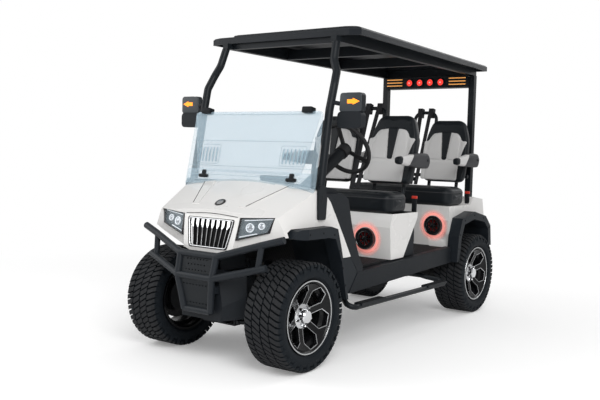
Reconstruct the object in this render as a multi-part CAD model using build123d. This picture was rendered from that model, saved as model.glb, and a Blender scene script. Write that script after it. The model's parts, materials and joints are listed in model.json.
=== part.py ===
from build123d import *
import math
import os

# Four-seat golf cart on all-terrain tyres, parked on its wheels.
# Millimetres. +X forward, +Y to the driver's left, +Z up.
# Origin: middle of the wheelbase, on the ground.

# Driving dimensions
wheelbase = 2090.0
overhang = 330.0
tyre_radius = 292.0
tyre_width = 230.0
tread_width = 208.0
track_half = 447.0
rim_lip_radius = 199.0
rim_seat_radius = 178.0
rim_half_width = 98.0
rim_window_count = 6
lug_count = 24
lug_height = 11.0
lug_length = 38.0
spindle_radius = 20.0
running_clearance = 0.05
body_half_width = 460.0
panel_wall = 10.0
seat_gap = 0.3
floor_rise = 0.0131
floor_thickness = 12.0
rail_height = 72.0
rail_width = 50.0
roof_top_z = 1865.0
roof_skirt = 42.0
roof_crown = 25.0
roof_wall = 10.0
roof_frame_drop = 75.0
roof_front_x = 680.0
roof_rear_x = -1245.0
roof_front_half = 563.0
roof_rear_half = 482.0
pillar_side = 45.0
pillar_x = -1207.0
strut_radius = 23.0
guard_radius = 19.0
glass_thickness = 6.0
fold_gap = 6.0
screen_bottom_x = 950.0
screen_bottom_z = 953.0
screen_height = 441.0
screen_lean = 10.4
armrest_y = 459.0
armrest_half = 23.0
nose_rail_y = 120.0
nose_end_x = 1200.0
nose_plate_y = 120.0
hitch_spacing = 150.0
hitch_hole_radius = 6.5
king_pin_radius = 9.95
arm_length = 150.0
joint_radius = 13.0
damper_height = 279.0
damper_eye = 16.0
toe_top_z = 642.0
sill_front_x = 507.0
sill_rear_x = -722.0
sill_width = 50.0
body_front_x = -766.0
kick_wall = 8.0
seat_base_z = 785.0
rear_seat_base_z = 803.0
back_low_z = 968.0
back_high_z = 1435.0
back_y = 240.0
back_half = 190.0
back_tube_radius = 13.0
front_back_x = (-190.0, -300.0)
front_back_thickness = 85.0
rear_back_x = (-1020.0, -1100.0)
rear_back_thickness = 68.0
armrest_height = 190.0
speaker_radius = 70.0
grille_top_z = 788.0
grille_bottom_z = 629.0
grille_top_half = 171.0
grille_bottom_half = 139.0
grille_bar_count = 8
grille_deep = 60.0
ridge_height = 5.0
sound_lamp_count = 4
column_x = 304.0
column_y = 240.0
column_z = 1190.0
column_lean = 30.0
column_radius = 36.0
column_shaft_radius = 10.0
wheel_ring_radius = 165.0

# Values that follow from the driving dimensions
front_axle_x = wheelbase / 2
rear_axle_x = -wheelbase / 2
axle_z = tyre_radius
front_end_x = front_axle_x + overhang
rear_end_x = rear_axle_x - overhang
rail_bottom_z = tyre_radius + 93
rail_top_z = rail_bottom_z + rail_height
floor_front_z = rail_bottom_z + 103
king_pin_y = track_half - 112
cowl_half_width = body_half_width + 30
flare_half_width = body_half_width + 80
pillar_y = body_half_width - 76
rail_y = track_half - tyre_width / 2 - 67
roof_frame_z = roof_top_z - roof_frame_drop
damper_foot_y = king_pin_y - 73
damper_top_y = king_pin_y - 139
arm_y = king_pin_y
arm_z = axle_z - 30
lower_arm_z = axle_z - 72
upper_arm_z = axle_z + 60
damper_top = (front_axle_x, damper_top_y, lower_arm_z + damper_height + 41)

os.makedirs("parts", exist_ok=True)
parts = {}


def floor_z(x):
    """Height of the floor's top face, which climbs a little towards the rear."""
    return floor_front_z + (560.0 - x) * floor_rise


def block(x0, x1, y0, y1, z0, z1):
    """A straight block between two corners."""
    size = Box(x1 - x0, y1 - y0, z1 - z0)
    return Pos((x0 + x1) / 2, (y0 + y1) / 2, (z0 + z1) / 2) * size


def flat(points, corner=0.0):
    """A flat outline with its corners rounded, always facing up."""
    turn = 0.0
    for (x0, y0), (x1, y1) in zip(points, points[1:] + points[:1]):
        turn += x0 * y1 - x1 * y0
    if turn < 0:
        points = points[::-1]
    outline = Polygon(*points, align=None)
    if corner:
        outline = fillet(outline.vertices(), corner)
    return outline


def side_plate(points, y0, y1, corner=0.0):
    """A side view (x, z) given thickness from y0 to y1."""
    plane = Plane(origin=(0, y1, 0), x_dir=(1, 0, 0), z_dir=(0, -1, 0))
    outline = flat(points, corner)
    return extrude(plane * outline, amount=y1 - y0, dir=(0, -1, 0))


def plan_plate(points, z0, z1, corner=0.0):
    """A plan view (x, y) given thickness from z0 to z1."""
    outline = flat(points, corner)
    return extrude(Plane(origin=(0, 0, z0)) * outline, amount=z1 - z0, dir=(0, 0, 1))


def bar(start, end, radius):
    """A round bar between two points."""
    line = Line(start, end)
    plane = Plane(origin=start, z_dir=line % 0)
    return extrude(plane * Circle(radius), amount=line.length)


def square_bar(start, end, width, height):
    """A rectangular bar between two points, its width level."""
    line = Line(start, end)
    along = line % 0
    level = Vector(0, 0, 1).cross(along)
    if level.length < 0.01:
        level = Vector(0, 1, 0)
    plane = Plane(origin=start, x_dir=level, z_dir=along)
    return extrude(plane * Rectangle(width, height), amount=line.length)


def bent_tube(points, radius, bend):
    """A round tube along straight runs with round bends."""
    path = FilletPolyline(*points, radius=bend)
    plane = Plane(origin=path @ 0, z_dir=path % 0)
    return sweep(plane * Circle(radius), path=path)


def mirrored(solid):
    """The same piece on the other side of the cart."""
    return mirror(solid, about=Plane.XZ)


def pair(solid):
    """A piece and its mirror image."""
    return [solid, mirrored(solid)]


def keep(name, *solids):
    """Write one node, made of one or more separate solids."""
    flat = []
    for solid in solids:
        if isinstance(solid, (list, tuple)):
            flat.extend(solid)
        else:
            flat.append(solid)
    bodies = []
    for solid in flat:
        bodies.extend(solid.solids())
    shape = bodies[0] if len(bodies) == 1 else Compound(children=bodies)
    shape.label = name
    parts[name] = shape
    export_step(shape, "parts/" + name + ".step")


# Wheels: tyre, rim with hub and brake drum

def ring_of_flats(section, count):
    """A ring whose every face is flat: the section's points are turned about the axle in steps."""
    corners = []
    for index in range(count):
        angle = 2 * math.pi * index / count
        corners.append([(r * math.sin(angle), y, r * math.cos(angle)) for r, y in section])
    faces = []
    for index in range(count):
        here, beyond = corners[index], corners[(index + 1) % count]
        for point in range(len(section)):
            after = (point + 1) % len(section)
            quad = [here[point], here[after], beyond[after], beyond[point]]
            faces.append(Face(Wire.make_polygon([Vector(*p) for p in quad], close=True)))
    return Solid(Shell(faces))


def tyre_ring():
    """A tubeless tyre of flat faces, open inside, with a shoulder lug on each side of every step."""
    half = tyre_width / 2
    groove = tyre_radius - lug_height
    bead = (rim_seat_radius + seat_gap) / math.cos(math.pi / lug_count)
    section = [
        (bead, -rim_half_width + 14), (rim_lip_radius + 4, -rim_half_width + 4),
        (tyre_radius - 60, -half + 1), (groove - 10, -half + 4), (groove, -half + 24),
        (groove, half - 24), (groove - 10, half - 4), (tyre_radius - 60, half - 1),
        (rim_lip_radius + 4, rim_half_width - 4), (bead, rim_half_width - 14),
        (bead, rim_half_width - 32), (tyre_radius - 45, half - 16), (tyre_radius - 45, -half + 16),
        (bead, -rim_half_width + 32),
    ]
    tyre = ring_of_flats(section, lug_count)
    turn = 360.0 / lug_count
    lugs = []
    for index in range(lug_count):
        for side in (-1, 1):
            lug = tread_lug(side, index % 2)
            lugs.append(Rot(0, turn * (index + 0.25 + 0.25 * side), 0) * lug)
    return (tyre + lugs).solids().sort_by(SortBy.VOLUME)[-1]


def tread_lug(side, short):
    """One shoulder lug at the top of the tyre, wrapped a little down the side wall."""
    half = tyre_width / 2
    reach = 38.0 if short else 56.0
    outline = [(side * 12, tyre_radius - 24), (side * 12, tyre_radius), (side * (half - 14), tyre_radius),
               (side * half, tyre_radius - 14), (side * half, tyre_radius - reach),
               (side * (half - 12), tyre_radius - reach)]
    plane = Plane(origin=(-lug_length / 2, 0, 0), x_dir=(0, 1, 0), z_dir=(1, 0, 0))
    return extrude(plane * flat(outline), amount=lug_length, dir=(1, 0, 0))


def wheel_rim():
    """A drop-centre barrel, a dished face with windows, the hub and the brake drum."""
    seat = rim_seat_radius
    wall = 6.0
    half = rim_half_width
    bore = spindle_radius + running_clearance
    barrel = [
        (rim_lip_radius, half + 3), (rim_lip_radius, half - 3), (seat + 6, half - 5),
        (seat, half - 10), (seat, half - 38), (seat - 13, half - 53),
        (seat - 13, -half + 53), (seat, -half + 38), (seat, -half + 10), (seat + 6, -half + 5),
        (rim_lip_radius, -half + 3), (rim_lip_radius, -half - 3), (seat + 3, -half - 3),
        (seat - wall, -half + 8), (seat - wall, -half + 36), (seat - 13 - wall, -half + 51),
        (seat - 13 - wall, half - 51), (seat - wall, half - 36), (seat - wall, half - 8),
        (seat + 3, half + 3),
    ]
    face = [
        (seat - wall + 2, half - 12), (seat - wall + 2, half - 28), (150, half - 38),
        (70, half - 52), (40, half - 52), (40, half - 22), (60, half - 26), (150, half - 16),
    ]
    hub = [(bore, -45), (48, -45), (48, half - 30), (36, half + 2), (30, half + 6),
           (0, half + 6), (0, 32), (bore, 32)]
    drum = [(40, -42), (92, -42), (92, -8), (40, -8)]
    disc = revolve(flat(face), axis=Axis.Y)
    plane = Plane(origin=(0, half + 20, 0), x_dir=(1, 0, 0), z_dir=(0, -1, 0))
    window = extrude(plane * (Pos(109, 0) * RegularPolygon(36, 6)), amount=120, dir=(0, -1, 0))
    for index in range(rim_window_count):
        disc -= Rot(0, 360.0 / rim_window_count * index, 0) * window
    rim = revolve(flat(barrel), axis=Axis.Y) + disc
    return rim + revolve(flat(hub), axis=Axis.Y) + revolve(flat(drum), axis=Axis.Y)


def place_wheels():
    tyre = tyre_ring()
    rim = wheel_rim()
    for end, x in (("front", front_axle_x), ("rear", rear_axle_x)):
        place = Pos(x, track_half, axle_z)
        keep("tyre_" + end + "_left", place * tyre)
        keep("rim_" + end + "_left", place * rim)
        keep("tyre_" + end + "_right", mirrored(place * tyre))
        keep("rim_" + end + "_right", mirrored(place * rim))


# Steering knuckles, tie rod, wishbones and dampers

def knuckle():
    """King-pin barrel, spindle, brake backing plate and steering arm."""
    x = front_axle_x
    low = lower_arm_z + 20
    high = upper_arm_z - 20
    barrel = bar((x, king_pin_y, low), (x, king_pin_y, high), 20)
    barrel += bar((x, king_pin_y, lower_arm_z - 12), (x, king_pin_y, upper_arm_z + 12), king_pin_radius)
    root = bar((x, king_pin_y, axle_z), (x, track_half - 52, axle_z), 28)
    plate = bar((x, track_half - 53, axle_z), (x, track_half - 49, axle_z), 100)
    spindle = bar((x, track_half - 50, axle_z), (x, track_half + 28, axle_z), spindle_radius)
    arm = square_bar((x, king_pin_y, arm_z), (x - arm_length, arm_y, arm_z), 26, 14)
    eye = bar((x - arm_length, arm_y, arm_z - 7), (x - arm_length, arm_y, arm_z + 7), joint_radius)
    pin = bar((x - arm_length, arm_y, arm_z - 26), (x - arm_length, arm_y, arm_z - 6), 6)
    return barrel + root + plate + spindle + arm + eye + pin


def tie_rod():
    """One rod across the cart, with an eye under each steering arm."""
    x = front_axle_x - arm_length
    z = arm_z - 17
    rod = bar((x, -arm_y, z), (x, arm_y, z), 9)
    for side in (-1, 1):
        rod += bar((x, side * arm_y, z - 8), (x, side * arm_y, z + 8), joint_radius)
    for side, hole in ((1, 6.05), (-1, 7.0)):
        rod -= bar((x, side * arm_y, z - 12), (x, side * arm_y, z + 12), hole)
    return rod


def wishbone(z, spread, pad):
    """A two-legged arm from the frame's pivots to the king pin."""
    x = front_axle_x
    inner_y = nose_plate_y + 12
    arm = bar((x, king_pin_y, z - 14), (x, king_pin_y, z + 14), 22)
    arm -= bar((x, king_pin_y, z - 15), (x, king_pin_y, z + 15), king_pin_radius + running_clearance)
    for side in (-1, 1):
        foot = (x + side * spread, inner_y, z)
        arm += square_bar((x + side * 8, king_pin_y - 18, z), foot, 24, 18)
        arm += bar((foot[0] - 16, foot[1], z), (foot[0] + 16, foot[1], z), 12)
    if pad:
        arm += block(x - 46, x + 46, damper_foot_y - 18, damper_foot_y + 18, z - 9, z + 9)
    return arm


def damper():
    """A coil-over damper from the lower wishbone up to the frame's tower."""
    foot = (front_axle_x, damper_foot_y, lower_arm_z + 9 + damper_eye + seat_gap)
    body = bar(foot, damper_top, 13)
    line = Line(foot, damper_top)
    turns = 7
    for index in range(turns):
        centre = line @ (0.5 + 0.35 * index / (turns - 1))
        plane = Plane(origin=centre, z_dir=line % 0)
        body += extrude(plane * Circle(32), amount=9)
    for x, y, z in (foot, damper_top):
        body += bar((x - 15, y, z), (x + 15, y, z), damper_eye)
    body -= block(foot[0] - 60, foot[0] + 60, foot[1] - 60, foot[1] + 60, 100, lower_arm_z + 9 + seat_gap)
    return body


def front_running_gear():
    keep("knuckle_left", knuckle())
    keep("knuckle_right", mirrored(knuckle()))
    keep("tie_rod", tie_rod())
    arms = [wishbone(lower_arm_z, 92, True), wishbone(upper_arm_z, 92, False)]
    keep("front_wishbones", arms, [mirrored(arm) for arm in arms])
    keep("front_dampers", pair(damper()))


# Chassis, rear axle and power pack

def chassis():
    """Two box rails that close in at the front, cross members and the damper towers."""
    z = (rail_bottom_z + rail_top_z) / 2
    x_axle = front_axle_x
    frame = None
    for side in (-1, 1):
        wide = square_bar((rear_end_x + 60, side * rail_y, z), (560, side * rail_y, z),
                          rail_width, rail_height)
        neck = plan_plate([(535, side * (rail_y - 25)), (560, side * (rail_y + 25)),
                           (720, side * (nose_rail_y + 25)), (700, side * (nose_rail_y - 25))],
                          rail_bottom_z, rail_top_z)
        nose = square_bar((700, side * nose_rail_y, z), (nose_end_x, side * nose_rail_y, z),
                          rail_width, rail_height)
        y0, y1 = sorted((side * (nose_plate_y - 8), side * nose_plate_y))
        plate = block(x_axle - 112, x_axle + 112, y0, y1, lower_arm_z - 20, rail_bottom_z + 1)
        y0, y1 = sorted((side * 130, side * 144))
        tower = block(x_axle - 30, x_axle + 30, y0, y1, rail_top_z - 40, damper_top[2] + 20)
        y0, y1 = sorted((side * 140, side * (damper_top_y + 18)))
        ear_gap = 15 + seat_gap
        ears = block(x_axle - ear_gap - 8, x_axle + ear_gap + 8, y0, y1,
                     damper_top[2] - 20, damper_top[2] + 20)
        ears -= block(x_axle - ear_gap, x_axle + ear_gap, min(y0, y1) - 1, max(y0, y1) + 1,
                      damper_top[2] - 25, damper_top[2] + 25)
        side_frame = wide + neck + nose + plate + tower + ears
        frame = side_frame if frame is None else frame + side_frame
    for x in (rear_end_x + 80, -700, -180, 420):
        frame += block(x - 20, x + 20, -rail_y, rail_y, rail_bottom_z + 6, rail_top_z - 6)
    for x in (-700, -180, 420):
        for y in (-rail_y, rail_y):
            frame += block(x - 25, x + 25, y - 20, y + 20, rail_top_z - 1, floor_z(x) - floor_thickness / 2)
    for side in (-1, 1):
        y = side * hitch_spacing / 2
        frame -= bar((rear_end_x + 50, y, z), (rear_end_x + 110, y, z), hitch_hole_radius)
    for x in (860, nose_end_x - 20):
        frame += block(x - 20, x + 20, -nose_rail_y, nose_rail_y, rail_bottom_z + 6, rail_top_z - 6)
    frame += block(x_axle - 112, x_axle + 112, -nose_plate_y + 4, nose_plate_y - 4,
                   lower_arm_z - 20, lower_arm_z - 12)
    return frame - floor_pan()


def rear_axle():
    """Axle tube, differential, motor, brake backing plates and axle shafts."""
    x = rear_axle_x
    tube = bar((x, -track_half + 50, axle_z), (x, track_half - 50, axle_z), 32)
    case = Pos(x, -60, axle_z) * Sphere(92)
    motor = bar((x + 30, -20, axle_z + 8), (x + 30, 215, axle_z + 8), 88)
    axle = tube + case + motor
    for side in (-1, 1):
        axle += bar((x, side * (track_half - 53), axle_z), (x, side * (track_half - 49), axle_z), 100)
        axle += bar((x, side * (track_half - 50), axle_z), (x, side * (track_half + 28), axle_z),
                    spindle_radius)
        axle += block(x - 45, x + 45, side * rail_y - 30, side * rail_y + 30, axle_z + 10, axle_z + 36)
    return axle


def leaf_spring(side):
    """A leaf spring on the axle pad, with an eye under each end of the rail."""
    x = rear_axle_x
    y = side * rail_y
    z = axle_z + 36
    outline = [(x - 270, z + 14), (x - 60, z), (x + 60, z), (x + 270, z + 14), (x + 270, z + 24),
               (x + 90, z + 24), (x + 60, z + 30), (x - 60, z + 30), (x - 90, z + 24), (x - 270, z + 24)]
    spring = side_plate(outline, y - 25, y + 25)
    for end in (-1, 1):
        spring += block(x + end * 262 - 14, x + end * 262 + 14, y - 25, y + 25, z + 12, rail_bottom_z)
    return spring


def power_pack():
    """The battery under the front seat, as one block on the frame."""
    return block(-215, 45, -230, 230, floor_z(-215) + seat_gap, 740)


# Floor, sills and running boards

def floor_pan():
    """The floor with its raised toe board and a tongue between the rear wheels."""
    t = floor_thickness
    rear = sill_rear_x
    half = cowl_half_width - sill_width - seat_gap
    points = [(rear, floor_z(rear)), (560, floor_z(560)), (684, toe_top_z), (699, toe_top_z),
              (566, floor_z(560) - t), (rear, floor_z(rear) - t)]
    pan = side_plate(points, -half, half)
    tongue = [(rear + 5, floor_z(rear + 5)), (rear + 5, floor_z(rear + 5) - t),
              (body_front_x, floor_z(body_front_x) - t), (body_front_x, floor_z(body_front_x))]
    return pan + side_plate(tongue, -290, 290)


def sill(side):
    """The black side sill under the door opening."""
    outer = [(593, 351), (sill_front_x, 465), (sill_rear_x, 514), (sill_rear_x, 401)]
    low = cowl_half_width - sill_width
    y0, y1 = (low, cowl_half_width) if side > 0 else (-cowl_half_width, -low)
    return side_plate(outer, y0, y1)


def running_board(side):
    """A bent tube step with two tread pads, hung from the frame rails."""
    y = side * 566
    z = 288
    inner = side * (rail_y + rail_width / 2 - 5)
    elbow = side * 450
    hang = rail_bottom_z - 16
    tube = bent_tube([(560, inner, hang), (600, elbow, hang - 42), (700, y, z), (-540, y, z),
                      (-420, elbow, hang - 42), (-380, inner, hang)], 16, 35)
    for x0, x1 in ((330, 600), (-480, -210)):
        tube += block(x0, x1, y - 34, y + 20, z + 4, z + 18)
    return tube


# Bodywork

def cowl_section(x, half, edge_z, centre_z, inset):
    """One closed cross-section of the nose: crowned top, sides that lean out to the arches."""
    plane = Plane(origin=(x, 0, 0), x_dir=(0, 1, 0), z_dir=(1, 0, 0))
    shoulder = cowl_half_width - inset
    half -= inset
    edge_z -= inset
    centre_z -= inset
    top = ThreePointArc((half, edge_z), (0, centre_z), (-half, edge_z))
    sides = Polyline((-half, edge_z), (-shoulder, 700), (-shoulder, 300), (shoulder, 300),
                     (shoulder, 700), (half, edge_z))
    return plane * make_face(Curve() + [top, sides])


def cowl_body(inset):
    """The nose and cowl as a solid, drawn in by the inset on every side."""
    sections = [
        cowl_section(560, 486, 953, 1004, inset),
        cowl_section(935, 486, 953, 1004, inset),
        cowl_section(1165, 437, 830, 870, inset),
        cowl_section(1275, 405, 775, 812, inset),
    ]
    body = loft([sections[0], sections[1]], ruled=True)
    body += loft([sections[1], sections[2]], ruled=True)
    body += loft([sections[2], sections[3]], ruled=True)
    rear_edge = [(948, 1100), (948, 985), (810 + inset, 908), (590 + inset, 572), (560, 300)]
    if inset > 0:
        rear_edge = [(500, 1100), (500, 300)]
    side = [(1262 - inset, 560), (1258 - inset, 629), (1229 - inset, 800), (1212 - inset, 1100)]
    side += rear_edge + [(1262 - inset, 300)]
    plan = [(1290 - inset, -150), (1290 - inset, 150), (1238 - inset, 200), (1203 - inset, 400),
            (1183 - inset, 478), (1150, 600), (300, 600), (300, -600), (1150, -600),
            (1183 - inset, -478), (1203 - inset, -400), (1238 - inset, -200)]
    body = body & side_plate(side, -700, 700)
    return body & plan_plate(plan, 200, 1200)


arch_cut = [(1163, 300), (1163, 742), (1130, 758), (860, 762),
            (795, 745), (762, 654), (730, 553), (690, 335), (690, 300)]
dash_outline = [(938, 984), (850, 982), (690, 955), (645, 905), (655, 850), (720, 700), (684, toe_top_z),
                (712, toe_top_z), (804, 908)]
flare_outer = [(1152, 712), (1130, 750), (1095, 757), (860, 761), (796, 744), (763, 654),
               (731, 553), (672, 335)]


def front_cowl():
    """The white nose and cowl: one shell with grille, lamp and wheel openings."""
    shell = cowl_body(0) - cowl_body(panel_wall)
    shell -= side_plate(arch_cut, 195, 700)
    shell -= side_plate(arch_cut, -700, -195)
    shell -= block(500, 1150, -cowl_half_width + 52, cowl_half_width - 52, 200, 790)
    shell -= block(500, 696, -cowl_half_width - 10, cowl_half_width + 10, 200, 566)
    shell -= block(1100, 1400, -150, 150, 200, 606)
    front = Plane(origin=(1100, 0, 0), x_dir=(0, 1, 0), z_dir=(1, 0, 0))
    for side in (-1, 1):
        below = [(side * 130, 200), (side * 130, 606), (side * 478, 716), (side * 700, 716), (side * 700, 200)]
        shell -= extrude(front * flat(below), amount=300, dir=(1, 0, 0))
        shell -= lamp_prism(side, 0.0)
    shell -= grille_plate(grille_deep, 150, 0)
    for side in (-1, 1):
        shell += hood_ridge(side)
    return shell


def hood_ridge(side):
    """A low raised crease that runs back over the hood from beside the grille."""
    path = [(1180, 150), (1180, 196), (960, 318), (960, 230)]
    strip = plan_plate([(x, side * y) for x, y in path], 700, 1100)
    return (strip & cowl_body(-ridge_height)) - cowl_body(panel_wall / 2) & cowl_band()


def cowl_band():
    """The stretch of the hood that may carry raised creases."""
    return block(955, 1190, -cowl_half_width, cowl_half_width, 780, 1100)


def grille_plate(depth, thickness, margin):
    """The grille's tapered outline on the nose's leaning face, as a plate."""
    lean = math.atan((1258.0 - 1231.0) / (grille_top_z - grille_bottom_z))
    ahead = Vector(math.cos(lean), 0, math.sin(lean))
    plane = Plane(origin=Vector(1258, 0, grille_bottom_z) - ahead * depth, x_dir=(0, 1, 0), z_dir=ahead)
    high = (grille_top_z - grille_bottom_z) / math.cos(lean) - margin
    low_half = grille_bottom_half - margin
    top_half = grille_top_half - margin
    outline = flat([(-low_half, margin), (low_half, margin), (top_half, high), (-top_half, high)], 14)
    return extrude(plane * outline, amount=thickness, dir=ahead)


def lamp_prism(side, margin):
    """The lamp's outline seen from the front, as a prism that starts just behind the skin."""
    points = [(203 + margin, 805 - margin), (419 - margin, 817 - margin),
              (393 - margin, 735 + margin), (193 + margin, 682 + margin)]
    points = [(side * y, z) for y, z in points]
    plane = Plane(origin=(1130, 0, 0), x_dir=(0, 1, 0), z_dir=(1, 0, 0))
    prism = extrude(plane * flat(points), amount=150, dir=(1, 0, 0))
    strip = [(1300, 150), (1203, 150), (1203, 200), (1168, 400), (1148, 478), (1300, 478)]
    return prism & plan_plate([(x, side * y) for x, y in strip], 600, 900)


def headlamp(side):
    """A lamp unit that fills its opening, a little behind the skin."""
    return (lamp_prism(side, seat_gap) & cowl_body(3)) - cowl_body(36)


def grille():
    """A tapered frame with upright bars that flare at the top."""
    frame = grille_plate(8, 9, seat_gap) - grille_plate(12, 20, 9)
    inside = grille_plate(8, 9, 8)
    pitch = 2 * grille_top_half / (grille_bar_count + 1)
    spread = (grille_top_half - grille_bottom_half) / grille_top_half
    bend_z = grille_top_z - 55
    for index in range(grille_bar_count):
        y = -grille_top_half + pitch * (index + 1)
        low_y = y * (1 - spread)
        mid_y = y * (1 - spread * 0.35)
        points = [(low_y - 3, grille_bottom_z), (low_y + 3, grille_bottom_z), (mid_y + 3.5, bend_z),
                  (y + 10, bend_z + 18), (y + 11, grille_top_z), (y - 11, grille_top_z),
                  (y - 10, bend_z + 18), (mid_y - 3.5, bend_z)]
        front = Plane(origin=(1150, 0, 0), x_dir=(0, 1, 0), z_dir=(1, 0, 0))
        frame += extrude(front * flat(points), amount=150, dir=(1, 0, 0)) & inside
    return frame


def front_flare(side):
    """The black wheel-arch flare: an outer lip and the liner behind it."""
    lip_inner = [(694, 335), (748, 553), (790, 640), (815, 690), (870, 700), (1090, 702), (1130, 706)]
    t = 10.0
    y0, y1 = sorted((side * (cowl_half_width - 38), side * flare_half_width))
    outer = side_plate(flare_outer + lip_inner, y0, y1)
    taper = [(1060, side * (flare_half_width + 1)), (1200, side * (flare_half_width + 1)),
             (1200, side * (flare_half_width - 45))]
    outer -= plan_plate(taper, 600, 900)
    leg = [(736, 560), (680, 336), (597, 353), (507, 467), (531, 499), (584, 562)]
    outer += side_plate(leg, *sorted((side * (cowl_half_width - 38), side * (cowl_half_width - 3))))
    y0, y1 = sorted((side * 200, side * (cowl_half_width - 30)))
    plate = [(1120, 757), (860, 761), (796, 744), (763, 654), (720, 530), (664, 335),
             (664 + t, 335), (720 + t, 527), (763 + t, 650), (803, 736), (861, 761 - t), (1120, 757 - t)]
    flare = outer + side_plate(plate, y0, y1)
    return (flare - sill(side) - cowl_trim(side) - cowl_solid).solids().sort_by(SortBy.VOLUME)[-1]


def front_shroud():
    """The faceted lower nose between the guard and the front wheels, open behind."""
    front = Plane(origin=(1298, 0, 0), x_dir=(0, 1, 0), z_dir=(1, 0, 0))
    rear = Plane(origin=(nose_end_x + seat_gap, 0, 0), x_dir=(0, 1, 0), z_dir=(1, 0, 0))

    def hull(inset):
        nose = [(-140, 250), (-156, 330), (-120, 505), (120, 505), (156, 330), (140, 250)]
        back = [(-230, 262), (-240, 385), (-236, 508), (236, 508), (240, 385), (230, 262)]
        outlines = []
        for plane, points in ((rear, back), (front, nose)):
            moved = [(y - math.copysign(inset, y), z + (inset if z < 300 else -inset if z > 500 else 0))
                     for y, z in points]
            outlines.append(plane * flat(moved))
        return loft(outlines, ruled=True)

    shell = hull(0) - Pos(-10, 0, 0) * hull(9)
    for side in (-1, 1):
        shell -= guard_bracket(side)
    return shell


def guard_bracket(side):
    """A flat bar that carries the guard from the frame's nose."""
    y0, y1 = sorted((side * 104, side * 128))
    return block(nose_end_x, front_end_x - 30, y0, y1, 400, 440)


def brush_guard():
    """The tubular guard with its two perforated panels."""
    r = guard_radius
    guard_x = front_end_x - r
    upper = bent_tube([(1233, -511, 712), (1261, -385, 676), (1325, -137, 600), (1325, 137, 600),
                       (1261, 385, 676), (1233, 511, 712)], r, 30)
    lower = bent_tube([(1268, -424, 562), (guard_x - 6, -126, 484), (guard_x - 6, 126, 484),
                       (1268, 424, 562)], r, 30)
    guard = upper + lower
    for side in (-1, 1):
        guard += bar((1261, side * 385, 676), (1276, side * 376, 546), r - 3)
        guard += bent_tube([(1325, side * 132, 600), (guard_x - 6, side * 126, 484),
                            (1325, side * 96, 296)], r, 60)
        guard += guard_bracket(side)
    guard += bar((1325, -96, 299), (1325, 96, 299), r - 2)
    return guard


def guard_panel(low, high, low_half, high_half):
    """A flat sheet between two cross tubes, given by the points where it meets them."""
    rise = Vector(high[0] - low[0], 0, high[1] - low[1])
    ahead = Vector(rise.Z, 0, -rise.X).normalized()
    plane = Plane(origin=(low[0], 0, low[1]), x_dir=(0, 1, 0), z_dir=ahead)
    outline = flat([(-low_half, 0), (low_half, 0), (high_half, rise.length), (-high_half, rise.length)])
    return extrude(plane * outline, amount=3, dir=ahead)


def guard_panels():
    """The two sheets in the middle of the guard."""
    mid_x = front_end_x - guard_radius - 6
    guard = brush_guard()
    sheets = []
    for sheet in (guard_panel((mid_x - 4, 490), (1323, 600), 128, 134),
                  guard_panel((1322, 300), (mid_x - 6, 478), 98, 124)):
        sheets.append((sheet - guard).solids().sort_by(SortBy.VOLUME)[-1])
    return sheets


def cowl_trim(side):
    """The black strip that edges the door opening, from the screen down to the sill."""
    outer = [(800, 890), (582, 560), (530, 500), (500, 455), (450, 455), (450, 500), (495, 560),
             (574, 730), (625, 900), (680, 935), (850, 935)]
    y0, y1 = sorted((side * (cowl_half_width - 48), side * (cowl_half_width - 2)))
    strip = side_plate(outer, y0, y1) - sill(side)
    return (strip - cowl_solid).solids().sort_by(SortBy.VOLUME)[-1]


def dash():
    """The dashboard across the cowl, open in front and underneath."""
    half = cowl_half_width - 48 - seat_gap
    inner = [(905, 974), (850, 974), (696, 944), (659, 902), (668, 852), (715, 745), (738, 745),
             (793, 908), (803, 918)]
    return side_plate(dash_outline, -half, half) - side_plate(inner, -half + 10, half - 10)


# Windscreen, struts, roof and rear frame

def on_screen(depth):
    """The leaning plane of the windscreen, moved this far forward."""
    lean = math.radians(screen_lean)
    ahead = Vector(math.cos(lean), 0, math.sin(lean))
    origin = Vector(screen_bottom_x, 0, screen_bottom_z) + ahead * depth
    return Plane(origin=origin, x_dir=(0, 1, 0), z_dir=ahead)


def screen_slab(low, high, half_low, half_high, depth, thickness, corner):
    """A plate on the windscreen's plane, with heights measured up the slope."""
    outline = flat([(-half_low, low), (half_low, low), (half_high, high), (-half_high, high)], corner)
    plane = on_screen(depth)
    return extrude(plane * outline, amount=thickness, dir=plane.z_dir)


def lower_pane():
    pane = screen_slab(-14, screen_height, 489, 475, 0, glass_thickness, 25)
    return pane - cowl_body(-seat_gap)


def upper_pane():
    """The upper pane, folded down in front of the lower one."""
    return screen_slab(78, screen_height - 4, 390, 474, fold_gap + glass_thickness, glass_thickness, 25)


def screen_clips():
    """Two clips under the folded pane and two hinges over both top edges."""
    panes = lower_pane() + upper_pane()
    front = 2 * glass_thickness + fold_gap
    clips = []
    for side in (-1, 1):
        clip = Pos(0, side * 330, 0) * screen_slab(58, 104, 24, 24, glass_thickness, front, 0)
        hinge = Pos(0, side * 380, 0) * screen_slab(screen_height - 26, screen_height + 10, 34, 34,
                                                    -8, front + 16, 0)
        clips += [clip - panes, hinge - panes]
    return clips


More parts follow.
